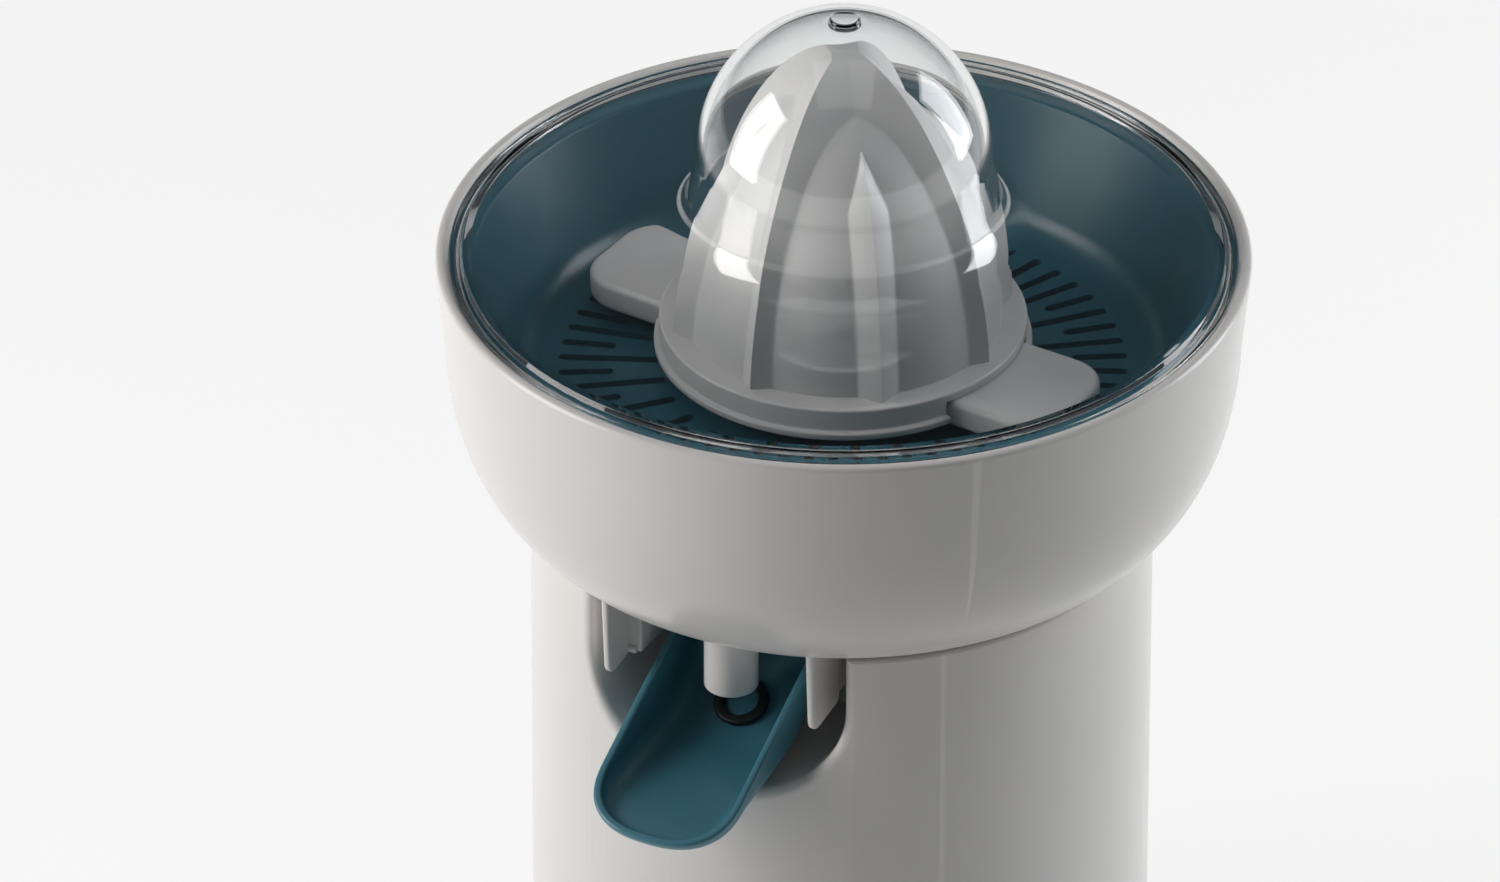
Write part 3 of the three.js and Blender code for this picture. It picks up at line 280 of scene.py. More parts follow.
class Look:
    """A material under construction: its node tree and its shader."""

    def __init__(self, name, roughness, metallic=0.0):
        self.material = bpy.data.materials.new(name)
        self.material.use_nodes = True
        self.tree = self.material.node_tree
        self.shader = self.tree.nodes["Principled BSDF"]
        self.shader.inputs["Roughness"].default_value = roughness
        self.shader.inputs["Metallic"].default_value = metallic
        self.place = self.tree.nodes.new("ShaderNodeTexCoord").outputs["Object"]

    def node(self, kind, **values):
        made = self.tree.nodes.new(kind)
        for name, value in values.items():
            setattr(made, name, value)
        return made

    def noise(self, scale, detail=3.0, stretch=None):
        source = self.place
        if stretch:
            mapping = self.node("ShaderNodeMapping")
            mapping.inputs["Scale"].default_value = stretch
            self.tree.links.new(source, mapping.inputs["Vector"])
            source = mapping.outputs["Vector"]
        made = self.node("ShaderNodeTexNoise")
        made.inputs["Scale"].default_value = scale
        made.inputs["Detail"].default_value = detail
        self.tree.links.new(source, made.inputs["Vector"])
        return made.outputs["Fac"]

    def colour(self, source, first, second):
        ramp = self.node("ShaderNodeValToRGB")
        ramp.color_ramp.elements[0].position = 0.35
        ramp.color_ramp.elements[1].position = 0.65
        ramp.color_ramp.elements[0].color = first
        ramp.color_ramp.elements[1].color = second
        self.tree.links.new(source, ramp.inputs["Fac"])
        self.tree.links.new(ramp.outputs["Color"], self.shader.inputs["Base Color"])

    def vary_roughness(self, source, low, high):
        spread = self.node("ShaderNodeMapRange")
        spread.inputs["To Min"].default_value = low
        spread.inputs["To Max"].default_value = high
        self.tree.links.new(source, spread.inputs["Value"])
        self.tree.links.new(spread.outputs["Result"], self.shader.inputs["Roughness"])

    def bump(self, source, strength, distance):
        made = self.node("ShaderNodeBump")
        made.inputs["Strength"].default_value = strength
        made.inputs["Distance"].default_value = distance
        self.tree.links.new(source, made.inputs["Height"])
        self.tree.links.new(made.outputs["Normal"], self.shader.inputs["Normal"])


def shade(colour, factor):
    return tuple(channel * factor for channel in colour[:3]) + (1,)


def moulded(name, colour, roughness, spread=0.04, grain=2600, relief=0.05, specular=0.5):
    """Injection-moulded plastic: a faint cloudiness, uneven gloss and a very fine grain."""
    look = Look(name, roughness)
    look.shader.inputs["Specular IOR Level"].default_value = specular
    cloud = look.noise(28, 4)
    look.colour(cloud, shade(colour, 1 - spread), shade(colour, 1 + spread))
    look.vary_roughness(look.noise(90, 5), roughness * 0.85, roughness * 1.2)
    look.bump(look.noise(grain, 2), relief, 0.0001)
    return look.material


def turned_metal(name, colour, roughness, stretch=(1, 1, 60)):
    """Machined metal with fine tool lines."""
    look = Look(name, roughness, 1.0)
    lines = look.noise(120, 4, stretch)
    look.colour(lines, shade(colour, 0.82), shade(colour, 1.1))
    look.vary_roughness(lines, roughness * 0.7, roughness * 1.4)
    look.bump(lines, 0.12, 0.0001)
    return look.material


def clear_plastic():
    """Clear polystyrene that lets lamps through to what it covers."""
    look = Look("clear_lid", 0.02)
    tree, shader = look.tree, look.shader
    shader.inputs["Transmission Weight"].default_value = 1.0
    shader.inputs["IOR"].default_value = 1.5
    look.colour(look.noise(40, 3), (0.96, 0.975, 0.975, 1), (0.985, 0.99, 0.99, 1))
    look.bump(look.noise(9, 2), 0.02, 0.001)
    mix = look.node("ShaderNodeMixShader")
    clear = look.node("ShaderNodeBsdfTransparent")
    path = look.node("ShaderNodeLightPath")
    tree.links.new(path.outputs["Is Shadow Ray"], mix.inputs["Fac"])
    tree.links.new(shader.outputs["BSDF"], mix.inputs[1])
    tree.links.new(clear.outputs["BSDF"], mix.inputs[2])
    tree.links.new(mix.outputs["Shader"], tree.nodes["Material Output"].inputs["Surface"])
    return look.material


def laminated(name, colour, pitch=0.0005):
    """A stack of punched steel sheets: thin dark joints across the height."""
    look = Look(name, 0.5, 1.0)
    wave = look.node("ShaderNodeTexWave", bands_direction="Z")
    wave.inputs["Scale"].default_value = 0.314 / pitch / 20
    wave.inputs["Distortion"].default_value = 0.1
    look.tree.links.new(look.place, wave.inputs["Vector"])
    look.colour(wave.outputs["Fac"], shade(colour, 0.55), shade(colour, 1.1))
    look.bump(wave.outputs["Fac"], 0.3, 0.0002)
    return look.material


def wound(name, colour):
    """Enamelled wire wound side by side."""
    look = Look(name, 0.35, 1.0)
    wave = look.node("ShaderNodeTexWave", bands_direction="Y")
    wave.inputs["Scale"].default_value = 95
    wave.inputs["Distortion"].default_value = 0.4
    look.tree.links.new(look.place, wave.inputs["Vector"])
    look.colour(wave.outputs["Fac"], shade(colour, 0.45), shade(colour, 1.15))
    look.bump(wave.outputs["Fac"], 0.6, 0.0003)
    return look.material


WHITE = moulded("white_gloss", linear(226, 223, 220), 0.24, spread=0.012, relief=0.03)
TEAL = moulded("teal_satin", linear(62, 118, 134), 0.34, spread=0.05, relief=0.06)
# A darker copy of the teal plastic: painted shade for the strainer's deep inside under the lid.
SHADED_TEAL = moulded("teal_satin_painted_shade", linear(36, 82, 96), 0.32, spread=0.05, relief=0.06)
GREY = moulded("grey_satin", linear(172, 171, 171), 0.36, spread=0.02, relief=0.06)
BLACK = moulded("black_plastic", linear(38, 39, 41), 0.5, spread=0.08, grain=1800, relief=0.2)
NYLON = moulded("nylon", linear(224, 220, 206), 0.42, spread=0.03, relief=0.08)
RED = moulded("red_plastic", linear(176, 48, 38), 0.45, spread=0.05)
RUBBER = moulded("rubber", linear(34, 34, 36), 0.8, spread=0.1, grain=1400, relief=0.3, specular=0.3)
SEAL = moulded("seal_rubber", linear(14, 18, 20), 0.42, spread=0.1, grain=1400, relief=0.15)
STEEL = turned_metal("machined_steel", (0.56, 0.57, 0.58, 1), 0.32)
ZINC = turned_metal("zinc_plate", (0.50, 0.51, 0.53, 1), 0.4, (8, 8, 8))
BRASS = turned_metal("sintered_brass", (0.60, 0.45, 0.22, 1), 0.38)
LAMINATION = laminated("lamination", (0.26, 0.27, 0.29, 1))
COPPER = wound("enamelled_copper", (0.72, 0.30, 0.13, 1))
CLEAR = clear_plastic()

by_slot = {
    "white_plastic": WHITE, "teal_plastic": TEAL, "grey_plastic": GREY, "clear_plastic": CLEAR,
    "black_plastic": BLACK, "nylon": NYLON, "rubber": RUBBER, "steel": STEEL, "lamination": LAMINATION,
    "copper": COPPER, "brass": BRASS, "red_plastic": RED,
}


def dress_cad_nodes():
    for node, obj in frame["nodes"].items():
        material = by_slot[slots[node]]
        if "screw" in node or "bracket" in node or "bridge" in node:
            material = ZINC
        obj.data.materials.clear()
        obj.data.materials.append(material)


# ------------------------------------------------------------------ juice bowl
EAR_INNER, EAR_OUTER = 24.5, 26.1
ARM_INNER, ARM_OUTER = 21.3, 24.9
STOP_INNER = 22.4


def bowl_outer_curve(steps=28):
    reach = RIM_RADIUS - SIDE_DRAFT - FLAT_RADIUS
    height = RIM - SIDE_DROP - UNDERSIDE
    return arc(FLAT_RADIUS, UNDERSIDE + height, reach, height, -90, 0, steps)


def bowl_inner_curve(steps=28):
    reach = RIM_RADIUS - SIDE_DRAFT - FLAT_RADIUS - BOWL_WALL
    floor = UNDERSIDE + FLOOR_THICKNESS
    height = RIM - SIDE_DROP - floor
    return arc(FLAT_RADIUS, floor + height, reach, height, -90, 0, steps)


def bowl_ring():
    inside = RIM_RADIUS - BOWL_WALL
    floor = UNDERSIDE + FLOOR_THICKNESS
    chimney_top = RIM - 23
    corners = [(CHIMNEY_BORE, UNDERSIDE, 0.3)]
    corners += sharp(bowl_outer_curve())
    corners += [(RIM_RADIUS, RIM, 1.2), (inside, RIM, 0.9), (inside, RIM - LEDGE_DEPTH, 0.2)]
    corners += [(inside - LEDGE_WIDTH, RIM - LEDGE_DEPTH, 0.3)]
    corners += sharp(reversed(bowl_inner_curve()))
    corners += [(CHIMNEY_OUTER, floor, 2), (CHIMNEY_OUTER, chimney_top, 0.5)]
    corners += [(CHIMNEY_BORE, chimney_top, 0.5)]
    return rounded(corners)


def ear_outline(inset):
    """The hanging fin beside the spout, in Y and Z."""
    front = TUBE_Y - 13
    tip = UNDERSIDE - 18
    back = TUBE_Y + 1.9
    corners = [
        (front + inset, UNDERSIDE + 12, 0),
        (front + 1.8 + inset, tip + inset, 2.8 - inset),
        (back - inset, tip + 1.4 + inset, 2.4 - inset),
        (back - inset, UNDERSIDE + 12, 0),
    ]
    return rounded(corners, 5)


def arm_outline(inset):
    """The arm behind the fin that holds the spout's pin, in Y and Z."""
    boss = 4.7 - inset
    corners = [
        (TUBE_Y - 2 + inset, UNDERSIDE + 1),
        (TUBE_Y - 2 + inset, PIVOT_Z - 3.7 + inset),
    ]
    corners += arc(PIVOT_Y, PIVOT_Z, boss, boss, -90, 0, 12)
    corners += [(PIVOT_Y + 4.7 - inset, UNDERSIDE + 1)]
    return corners


def stop_outline(inset):
    """The small foot on the fin's inner face that stops the spout, in Y and Z."""
    back, low = TUBE_Y + 1.5, UNDERSIDE - 16.2
    return rounded([
        (back - 4.4 + inset, low + inset, 0.5), (back - inset, low + inset, 0.5),
        (back - inset, low + 1.5 - inset, 0.5), (back - 4.4 + inset, low + 1.5 - inset, 0.5),
    ], 2)


def cross_rod(name, radius, low, high, y, z, segments=48, edge=0.2):
    def outline(inset):
        return arc(y, z, radius - inset, radius - inset, 0, 360 - 360 / segments, segments - 1)
    return slab(name, outline, low, high, edge, "x", 2)


def upright_rod(name, radius, low, high, x=0.0, y=0.0, segments=64):
    def outline(inset):
        return arc(x, y, radius - inset, radius - inset, 0, 360 - 360 / segments, segments - 1)
    return slab(name, outline, low, high, 0.01, "z", 1)


def span(side, first, second):
    return sorted((side * first, side * second))


def juice_bowl():
    bowl = lathe("bowl_shell", bowl_ring(), 256)
    inside = [(0, UNDERSIDE + FLOOR_THICKNESS / 2)]
    inside += [(r - 1.2, z + 1.2) for r, z in bowl_outer_curve()]
    inside += [(RIM_RADIUS - 1.4, RIM + 5), (0, RIM + 5)]
    sides = []
    for side in (-1, 1):
        ear = slab("ear", ear_outline, *span(side, EAR_INNER, EAR_OUTER), 0.55, "x", 4)
        ear = add(ear, slab("arm", arm_outline, *span(side, ARM_INNER, ARM_OUTER), 0.4, "x"))
        ear = add(ear, slab("stop", stop_outline, *span(side, STOP_INNER, ARM_OUTER), 0.3, "x", 2))
        sides.append(ear)
    trim = lathe("trim", inside, 128)
    for ear in sides:
        copy = bpy.data.objects.new("trim_copy", trim.data.copy())
        bpy.context.scene.collection.objects.link(copy)
        bowl = add(bowl, cut(ear, copy))
    bpy.data.objects.remove(trim)
    tube_ring = rounded([
        (TUBE_BORE, UNDERSIDE - 18.9, 0.4),
        (TUBE_RADIUS, UNDERSIDE - 18.9, 0.5),
        (TUBE_RADIUS, UNDERSIDE, 1.6),
        (TUBE_RADIUS + 3, UNDERSIDE, 0),
        (TUBE_RADIUS + 3, UNDERSIDE + 1.2, 0),
        (TUBE_BORE, UNDERSIDE + 1.2, 0),
    ], 6)
    bowl = add(bowl, lathe("tube", tube_ring, 72, 0, TUBE_Y))
    bowl = cut(bowl, upright_rod("bore", TUBE_BORE, UNDERSIDE - 30, UNDERSIDE + 12, 0, TUBE_Y))
    bowl = cut(bowl, cross_rod("pin_bore", 2, -40, 40, PIVOT_Y, PIVOT_Z))
    return finish_piece(bowl, WHITE, "juice_bowl")


# ------------------------------------------------------------------ base housing
RECESS_HALF = 31.1
RECESS_FLOOR = 119.5
RECESS_CORNER = 22
RECESS_LIP = 2.6
RECESS_BACK = PIVOT_Y + 8.5
RECESS_WALL = 2.4


def housing_radius(z):
    share = (DECK_TOP - z) / (DECK_TOP - HOUSING_BOTTOM)
    return HOUSING_TOP_RADIUS + (HOUSING_BOTTOM_RADIUS - HOUSING_TOP_RADIUS) * share


def underside_at(radius):
    reach = RIM_RADIUS - SIDE_DRAFT - FLAT_RADIUS
    height = RIM - SIDE_DROP - UNDERSIDE
    share = max(0, (radius - FLAT_RADIUS) / reach)
    return UNDERSIDE + height - height * math.sqrt(1 - share * share)


def recess_outline(grow, top=DECK_TOP + 20):
    half = RECESS_HALF + grow
    corner = RECESS_CORNER + grow
    floor = RECESS_FLOOR - grow
    left = arc(corner - half, floor + corner, corner, corner, 180, 270, 20)
    right = arc(half - corner, floor + corner, corner, corner, 270, 360, 20)
    return [(-half, top)] + left + right + [(half, top)]


def recess_block(name, grow, back, front):
    return loft(name, [[(a, y, b) for a, b in recess_outline(grow)] for y in (front, back)])


def recess_cutter():
    """The pocket's clear space, its mouth flared to round the edge where it opens in the side."""
    def mouth(depth, grow):
        return [(a, -math.sqrt(max(1, (housing_radius(b) - depth) ** 2 - a * a)), b) for a, b in fine(grow)]

    def fine(grow):
        outline = recess_outline(grow)
        half, corner = RECESS_HALF + grow, RECESS_CORNER + grow
        low, rise = RECESS_FLOOR - grow + corner, DECK_TOP + 20 - RECESS_FLOOR
        side = [(half, low + rise * i / 12) for i in range(13)]
        left = [(-x, z) for x, z in reversed(side)]
        return left + outline[2:-2] + side

    rings = [[(a, -80, b) for a, b in fine(RECESS_LIP)], mouth(-0.05, RECESS_LIP)]
    for i in range(7):
        angle = math.pi / 2 * i / 6
        rings.append(mouth(RECESS_LIP * (1 - math.cos(angle)), RECESS_LIP * (1 - math.sin(angle))))
    rings.append([(a, RECESS_BACK, b) for a, b in fine(0)])
    return loft("pocket", rings)


def base_housing():
    lip = underside_at(HOUSING_TOP_RADIUS - HOUSING_WALL) - GAP
    inner_top = HOUSING_TOP_RADIUS - HOUSING_WALL
    inner_bottom = HOUSING_BOTTOM_RADIUS - HOUSING_WALL
    under = DECK_TOP - DECK_THICKNESS
    ring = rounded([
        (HOUSING_BOTTOM_RADIUS, HOUSING_BOTTOM, 0.8),
        (HOUSING_TOP_RADIUS, lip, 0.7),
        (inner_top, lip, 0.4),
        (inner_top, DECK_TOP, 0.3),
        (COLLAR_RADIUS, DECK_TOP, 1.2),
        (COLLAR_RADIUS, COLLAR_TOP, 0.6),
        (COLLAR_BORE, COLLAR_TOP, 0.3),
        (COLLAR_BORE, under, 0.2),
        (inner_top, under, 1.5),
        (inner_bottom, HOUSING_BOTTOM, 0.3),
    ])
    shell = lathe("housing_shell", ring, 224)
    envelope = lathe("envelope", [
        (0, HOUSING_BOTTOM + 1), (housing_radius(HOUSING_BOTTOM) - 0.02, HOUSING_BOTTOM + 1),
        (housing_radius(DECK_TOP) - 0.02, DECK_TOP - 0.05), (0, DECK_TOP - 0.05)], 224)
    pocket_shell = recess_block("pocket_shell", RECESS_WALL, RECESS_BACK + RECESS_WALL, -80)
    pocket_shell = combine(pocket_shell, envelope, "INTERSECT")
    shell = add(shell, pocket_shell)
    shell = cut(shell, recess_cutter())
    shell = cut(shell, gland_hole())
    for x, y in boss_places():
        boss = rounded([(1.9, top_of("base_cover") + GAP, 0.2), (4.5, top_of("base_cover") + GAP, 0.3),
                        (4.5, 31, 0.5), (1.9, 31, 0)])
        shell = add(shell, lathe("boss", boss, 24, x, y))
    return finish_piece(shell, WHITE, "base_housing")


def boss_places():
    circle = HOUSING_BOTTOM_RADIUS - HOUSING_WALL - 4
    return [(circle * math.cos(math.radians(15 + 90 * i)), circle * math.sin(math.radians(15 + 90 * i)))
            for i in range(4)]


def gland_hole():
    def outline(inset):
        return arc(0, 18, 6 - inset, 6 - inset, 0, 352, 44)
    return slab("gland_hole", outline, 60, 80, 0.01, "y", 1)


# ------------------------------------------------------------------ strainer
STRAINER_WALL = 1.8
STRAINER_FLOOR = RIM - 32
STRAINER_TOP = top_of("strainer")
STRAINER_RIM_INNER = RIM_RADIUS - BOWL_WALL - LEDGE_WIDTH - STRAINER_WALL - 1.1
STRAINER_FLOOR_RADIUS = STRAINER_RIM_INNER - 10.6
SLOT_COUNT = 60
SLOT_WIDTH = 2.4
SLOT_OUTER = STRAINER_FLOOR_RADIUS - 7.8
SLOT_LONG = 40.0
SLOT_SHORT = SLOT_LONG + 0.48 * (SLOT_OUTER - SLOT_LONG)


def slot_cutters():
    """Radial slots with round ends, long and short by turns, as one mesh."""
    verts, faces = [], []
    half = SLOT_WIDTH / 2
    for i in range(SLOT_COUNT):
        inner = SLOT_SHORT if i % 2 else SLOT_LONG
        outline = arc(SLOT_OUTER - half, 0, half, half, -90, 90, 8)
        outline += arc(inner + half, 0, half, half, 90, 270, 8)
        angle = 2 * math.pi * i / SLOT_COUNT
        cos, sin = math.cos(angle), math.sin(angle)
        first = len(verts)
        for z in (STRAINER_FLOOR - 6, STRAINER_FLOOR + 4):
            verts += [(x * cos - y * sin, x * sin + y * cos, z) for x, y in outline]
        count = len(outline)
        for j in range(count):
            k = (j + 1) % count
            faces.append((first + j, first + k, first + count + k, first + count + j))
        faces.append(tuple(first + j for j in reversed(range(count))))
        faces.append(tuple(first + count + j for j in range(count)))
    return build("slots", verts, faces)


def strainer():
    flange = RIM_RADIUS - BOWL_WALL - 0.9
    top, bottom = STRAINER_FLOOR, STRAINER_FLOOR - STRAINER_WALL
    hole = CHIMNEY_OUTER + GAP
    ring = rounded([
        (hole, bottom, 0.3), (STRAINER_FLOOR_RADIUS + 0.4, bottom, 9.8),
        (STRAINER_RIM_INNER + STRAINER_WALL - 0.1, STRAINER_TOP - 1.8, 0.3),
        (flange, STRAINER_TOP - 1.8, 0.3), (flange, STRAINER_TOP, 0.5),
        (STRAINER_RIM_INNER, STRAINER_TOP, 0.9), (STRAINER_FLOOR_RADIUS - 0.5, top, 8),
        (hole + 1.6, top, 1.0), (hole + 1.6, top + 2.5, 0.4), (hole, top + 2.5, 0.4),
    ], 10)
    basket = lathe("strainer_basket", ring, 256)
    basket = cut(basket, slot_cutters())
    # The strainer wears the teal darkened with painted shade, so it is darker than the spout.
    return finish_piece(basket, SHADED_TEAL, "strainer")


# ------------------------------------------------------------------ reamers
FLANGE_TOP = RIM - 18
CONE_RADIUS = 38.4
CONE_HEIGHT = 70.0
FLANGE_RADIUS = 41.2
FLANGE_DEPTH = 2.1
LARGE_WALL = 2.4
SMALL_RADIUS = 28
SMALL_HEIGHT = 44
SMALL_WALL = 3
CORE_SHARE = 0.927


def crest_share(share):
    return (1 - share ** 1.6) ** 0.54


def valley_share(share):
    return crest_share(share) * (0.8 - 0.22 * share)


def core_share(share):
    return CORE_SHARE * (1 - (share / 0.9) ** 1.65) ** 0.53 if share < 0.9 else 0.0


def ribbed_share(share, angle):
    """Radius of the ribbed cone over its base radius, at a share of its height."""
    eighth = math.pi / 4
    turned = abs((angle + eighth) % (2 * eighth) - eighth)
    crest = crest_share(share)
    valley = valley_share(share)
    across_flank = crest * math.sin(turned) + valley * math.sin(eighth - turned)
    flank = crest * valley * math.sin(eighth) / across_flank
    core = core_share(share)
    fade = min(1, max(0, (0.76 - share) / 0.16))
    rib = core
    if fade > 0:
        across = (eighth - turned) * core
        rib = core + 0.085 * math.sqrt(fade) * max(0, 1 - across / (0.12 * fade))
    return max(flank, core, rib)


def ribbed_cone(name, radius, height, base, around, levels, top_share=0.985):
    rings = []
    for i in range(levels + 1):
        share = top_share * (1 - (1 - i / levels) ** 1.5)
        ring = []
        for j in range(around):
            angle = 2 * math.pi * j / around
            reach = radius * ribbed_share(share, angle)
            ring.append((reach * math.cos(angle), reach * math.sin(angle), base + height * share))
        rings.append(ring)
    return loft(name, rings)


def wing_outline(inset):
    half, reach, corner = 15.5 - inset, 62.3 - inset, 10 - inset
    points = arc(reach - corner, corner - half, corner, corner, -90, 0, 10)
    points += arc(reach - corner, half - corner, corner, corner, 0, 90, 10)
    points += arc(corner - reach, half - corner, corner, corner, 90, 180, 10)
    points += arc(corner - reach, corner - half, corner, corner, 180, 270, 10)
    return points


WING_TOP = FLANGE_TOP - FLANGE_DEPTH - GAP
WING_BOTTOM = WING_TOP - 7


def large_reamer():
    skirt = FLANGE_TOP - 7.4
    inner = FLANGE_RADIUS - 2
    cone = ribbed_cone("reaming_cone", CONE_RADIUS, CONE_HEIGHT, FLANGE_TOP - 0.5, 480, 110)
    base = lathe("cone_base", rounded([
        (0, FLANGE_TOP - FLANGE_DEPTH, 0), (inner, FLANGE_TOP - FLANGE_DEPTH, 0.5), (inner, skirt, 0.3),
        (FLANGE_RADIUS + 1.2, skirt, 0.4), (FLANGE_RADIUS + 1.2, skirt + 1.7, 0.5),
        (FLANGE_RADIUS, skirt + 2.0, 0.4), (FLANGE_RADIUS, FLANGE_TOP, 0.6), (0, FLANGE_TOP, 0),
    ]), 240)
    body = add(cone, base)
    hollow = [(0, FLANGE_TOP - 4)]
    shares = [i / 24 * 0.78 for i in range(25)]
    profile = [(CONE_RADIUS * max(core_share(s), valley_share(s)) - LARGE_WALL,
                FLANGE_TOP + CONE_HEIGHT * s) for s in shares]
    hollow += [(profile[0][0], FLANGE_TOP - 4)] + profile + [(0, profile[-1][1])]
    body = cut(body, lathe("hollow", hollow, 128))
    notch_top = FLANGE_TOP - FLANGE_DEPTH
    notch = slab("notch", lambda inset: wing_outline(inset - 1.2), skirt - 4, notch_top, 0.01, "z", 1)
    body = cut(body, notch)
    turn(body, REAMER_TURN)
    return finish_piece(body, GREY, "large_reamer", crease=40)


def small_reamer():
    wings = slab("small_cone", wing_outline, WING_BOTTOM, WING_TOP, 1.6, "z", 6)
    disc = lathe("disc", rounded([
        (0, WING_BOTTOM, 0), (38, WING_BOTTOM, 0.5), (38, WING_TOP, 1.0), (0, WING_TOP, 0)]), 160)
    body = add(wings, disc)
    body = cut(body, slab("wing_hollow", lambda inset: wing_outline(inset + 2), WING_BOTTOM - 4,
                          WING_TOP - 2, 0.4, "z", 2))
    body = cut(body, upright_rod("disc_hollow", 36, WING_BOTTOM - 4, WING_TOP - 2, segments=128))
    body = add(body, ribbed_cone("small_ribs", SMALL_RADIUS, SMALL_HEIGHT, WING_TOP - 0.5, 240, 60))
    hollow = [(0, WING_TOP - 5), (SMALL_RADIUS * CORE_SHARE - SMALL_WALL, WING_TOP - 5)]
    for i in range(17):
        share = i / 16 * 0.78
        reach = max(core_share(share), valley_share(share))
        hollow.append((SMALL_RADIUS * reach - SMALL_WALL, WING_TOP + SMALL_HEIGHT * share))
    hollow.append((0, hollow[-1][1]))
    body = cut(body, lathe("small_hollow", hollow, 96))
    hub = lathe("hub", [(0, 200.8), (7.8, 200.8), (7.8, WING_TOP + 36), (0, WING_TOP + 36)], 64)
    body = add(body, hub)
    body = cut(body, hex_rod("hub_bore", 4.8, 180, top_of("drive_shaft") + 0.5))
    turn(body, REAMER_TURN)
    return finish_piece(body, GREY, "small_reamer", crease=40)


def hex_rod(name, radius, low, high, edge=0.01):
    def outline(inset):
        return arc(0, 0, radius - inset, radius - inset, 0, 300, 5)
    return slab(name, outline, low, high, edge, "z", 1)


# ------------------------------------------------------------------ spout
SPOUT_HALF = 17.5
SPOUT_LENGTH = 64.7
SPOUT_TIP = 16.0
SPOUT_FULLNESS = 2.5
SPOUT_TOP = 5.8
SPOUT_FLOOR = -8.5
SPOUT_WALL = 1.8


def spout_floor(along, inset):
    """Height of the floor at a distance in front of the pivot, smoothed over its bends."""
    floor = SPOUT_FLOOR - SPOUT_WALL + inset
    tip = SPOUT_TOP - 3.2 + inset * 1.4
    stops = [
        (-6, floor + 13), (6 + inset, floor), (25, floor),
        (30, floor + 1), (55.7, tip - 3.2), (66.7, tip),
    ]
    total = 0
    for step in range(-4, 5):
        at = along + step * 0.9
        value = stops[0][1] if at < stops[0][0] else stops[-1][1]
        for (x0, z0), (x1, z1) in zip(stops, stops[1:]):
            if x0 <= at <= x1:
                value = z0 + (z1 - z0) * (at - x0) / (x1 - x0)
        total += value
    return total / 9


def spout_surface(inset):
    """The trough's skin at an inset from its outside: a grid of rows from the back to the tip."""
    half, tip = SPOUT_HALF - inset, SPOUT_TIP - inset
    back, bend = -4 + inset, SPOUT_LENGTH - SPOUT_TIP
    power = SPOUT_FULLNESS
    stations = [back + (bend - back) * (1 - math.cos(math.pi * i / 40)) / 2 for i in range(40)]
    stations += [bend + tip * math.sin(math.pi / 2 * i / 28) ** (2 / power) for i in range(28)]
    rows = []
    for along in stations:
        past = max(0, along - bend) / tip
        width = half * (1 - past ** power) ** (1 / power)
        row = []
        for j in range(-24, 25):
            x = width * math.sin(math.pi / 48 * j)
            reach = ((abs(x) / half) ** power + past ** power) ** (1 / power)
            edge = (half - abs(x)) if past == 0 else (1 - reach) * tip
            edge = max(0, min(edge, along - back))
            floor = spout_floor(along, inset)
            wanted = 8 if inset == 0 else 4.4
            corner = max(0.2, min(wanted, SPOUT_TOP - floor - 1.0))
            rise = corner - math.sqrt(max(0, corner ** 2 - (corner - edge) ** 2)) if edge < corner else 0
            row.append((x, along, floor + rise))
        rows.append(row)
    point = (0, bend + tip, rows[-1][0][2])
    return rows, point


def spout_point(x, along, up):
    """From the trough's own level frame to the model, tilted open about the pivot."""
    forward = along * math.cos(OPEN_ANGLE) + up * math.sin(OPEN_ANGLE)
    rise = -along * math.sin(OPEN_ANGLE) + up * math.cos(OPEN_ANGLE)
    return (x, PIVOT_Y - forward, PIVOT_Z + rise)


def drip_spout():
    verts, faces = [], []

    def skin(inset):
        rows, point = spout_surface(inset)
        start = len(verts)
        for row in rows:
            verts.extend(row)
        verts.append(point)
        width = len(rows[0])
        index = lambda i, j: start + i * width + j
        for i in range(len(rows) - 1):
            for j in range(width - 1):
                faces.append((index(i, j), index(i, j + 1), index(i + 1, j + 1), index(i + 1, j)))
        last = len(rows) - 1
        peak = start + len(rows) * width
        for j in range(width - 1):
            faces.append((index(last, j), index(last, j + 1), peak))
        border = [index(i, 0) for i in range(len(rows))] + [peak]
        border += [index(i, width - 1) for i in reversed(range(len(rows)))]
        border += [index(0, j) for j in reversed(range(1, width - 1))]
        return border

    def raised(border, height, move):
        start = len(verts)
        for at in border:
            x, along, _ = verts[at]
            stretch = move * along / SPOUT_LENGTH if along > 40 else 0
            verts.append((x * (1 + move / SPOUT_HALF), along + stretch, height))
        return list(range(start, start + len(border)))

    def bridge(first, second):
        for i in range(len(first)):
            k = (i + 1) % len(first)
            faces.append((first[i], first[k], second[k], second[i]))

    outer, inner = skin(0), skin(SPOUT_WALL)
    rings = [outer, raised(outer, SPOUT_TOP - 0.5, 0), raised(outer, SPOUT_TOP - 0.15, -0.15),
             raised(outer, SPOUT_TOP, -0.5)]
    rings += [raised(inner, SPOUT_TOP, 0.5), raised(inner, SPOUT_TOP - 0.15, 0.15),
              raised(inner, SPOUT_TOP - 0.5, 0), inner]
    for first, second in zip(rings, rings[1:]):
        bridge(first, second)
    trough = build("spout_trough", [spout_point(*v) for v in verts], faces)
    root = SPOUT_HALF - 1
    for side in (-1, 1):
        boss = cross_rod("boss", 3.5, *span(side, root, 21), PIVOT_Y, PIVOT_Z, 40, 0.4)
        trough = add(trough, boss)
        pin = cross_rod("pin", 1.7, *span(side, root, 23.3), PIVOT_Y, PIVOT_Z, 32, 0.2)
        trough = add(trough, pin)
    return finish_piece(trough, TEAL, "drip_spout", crease=50)


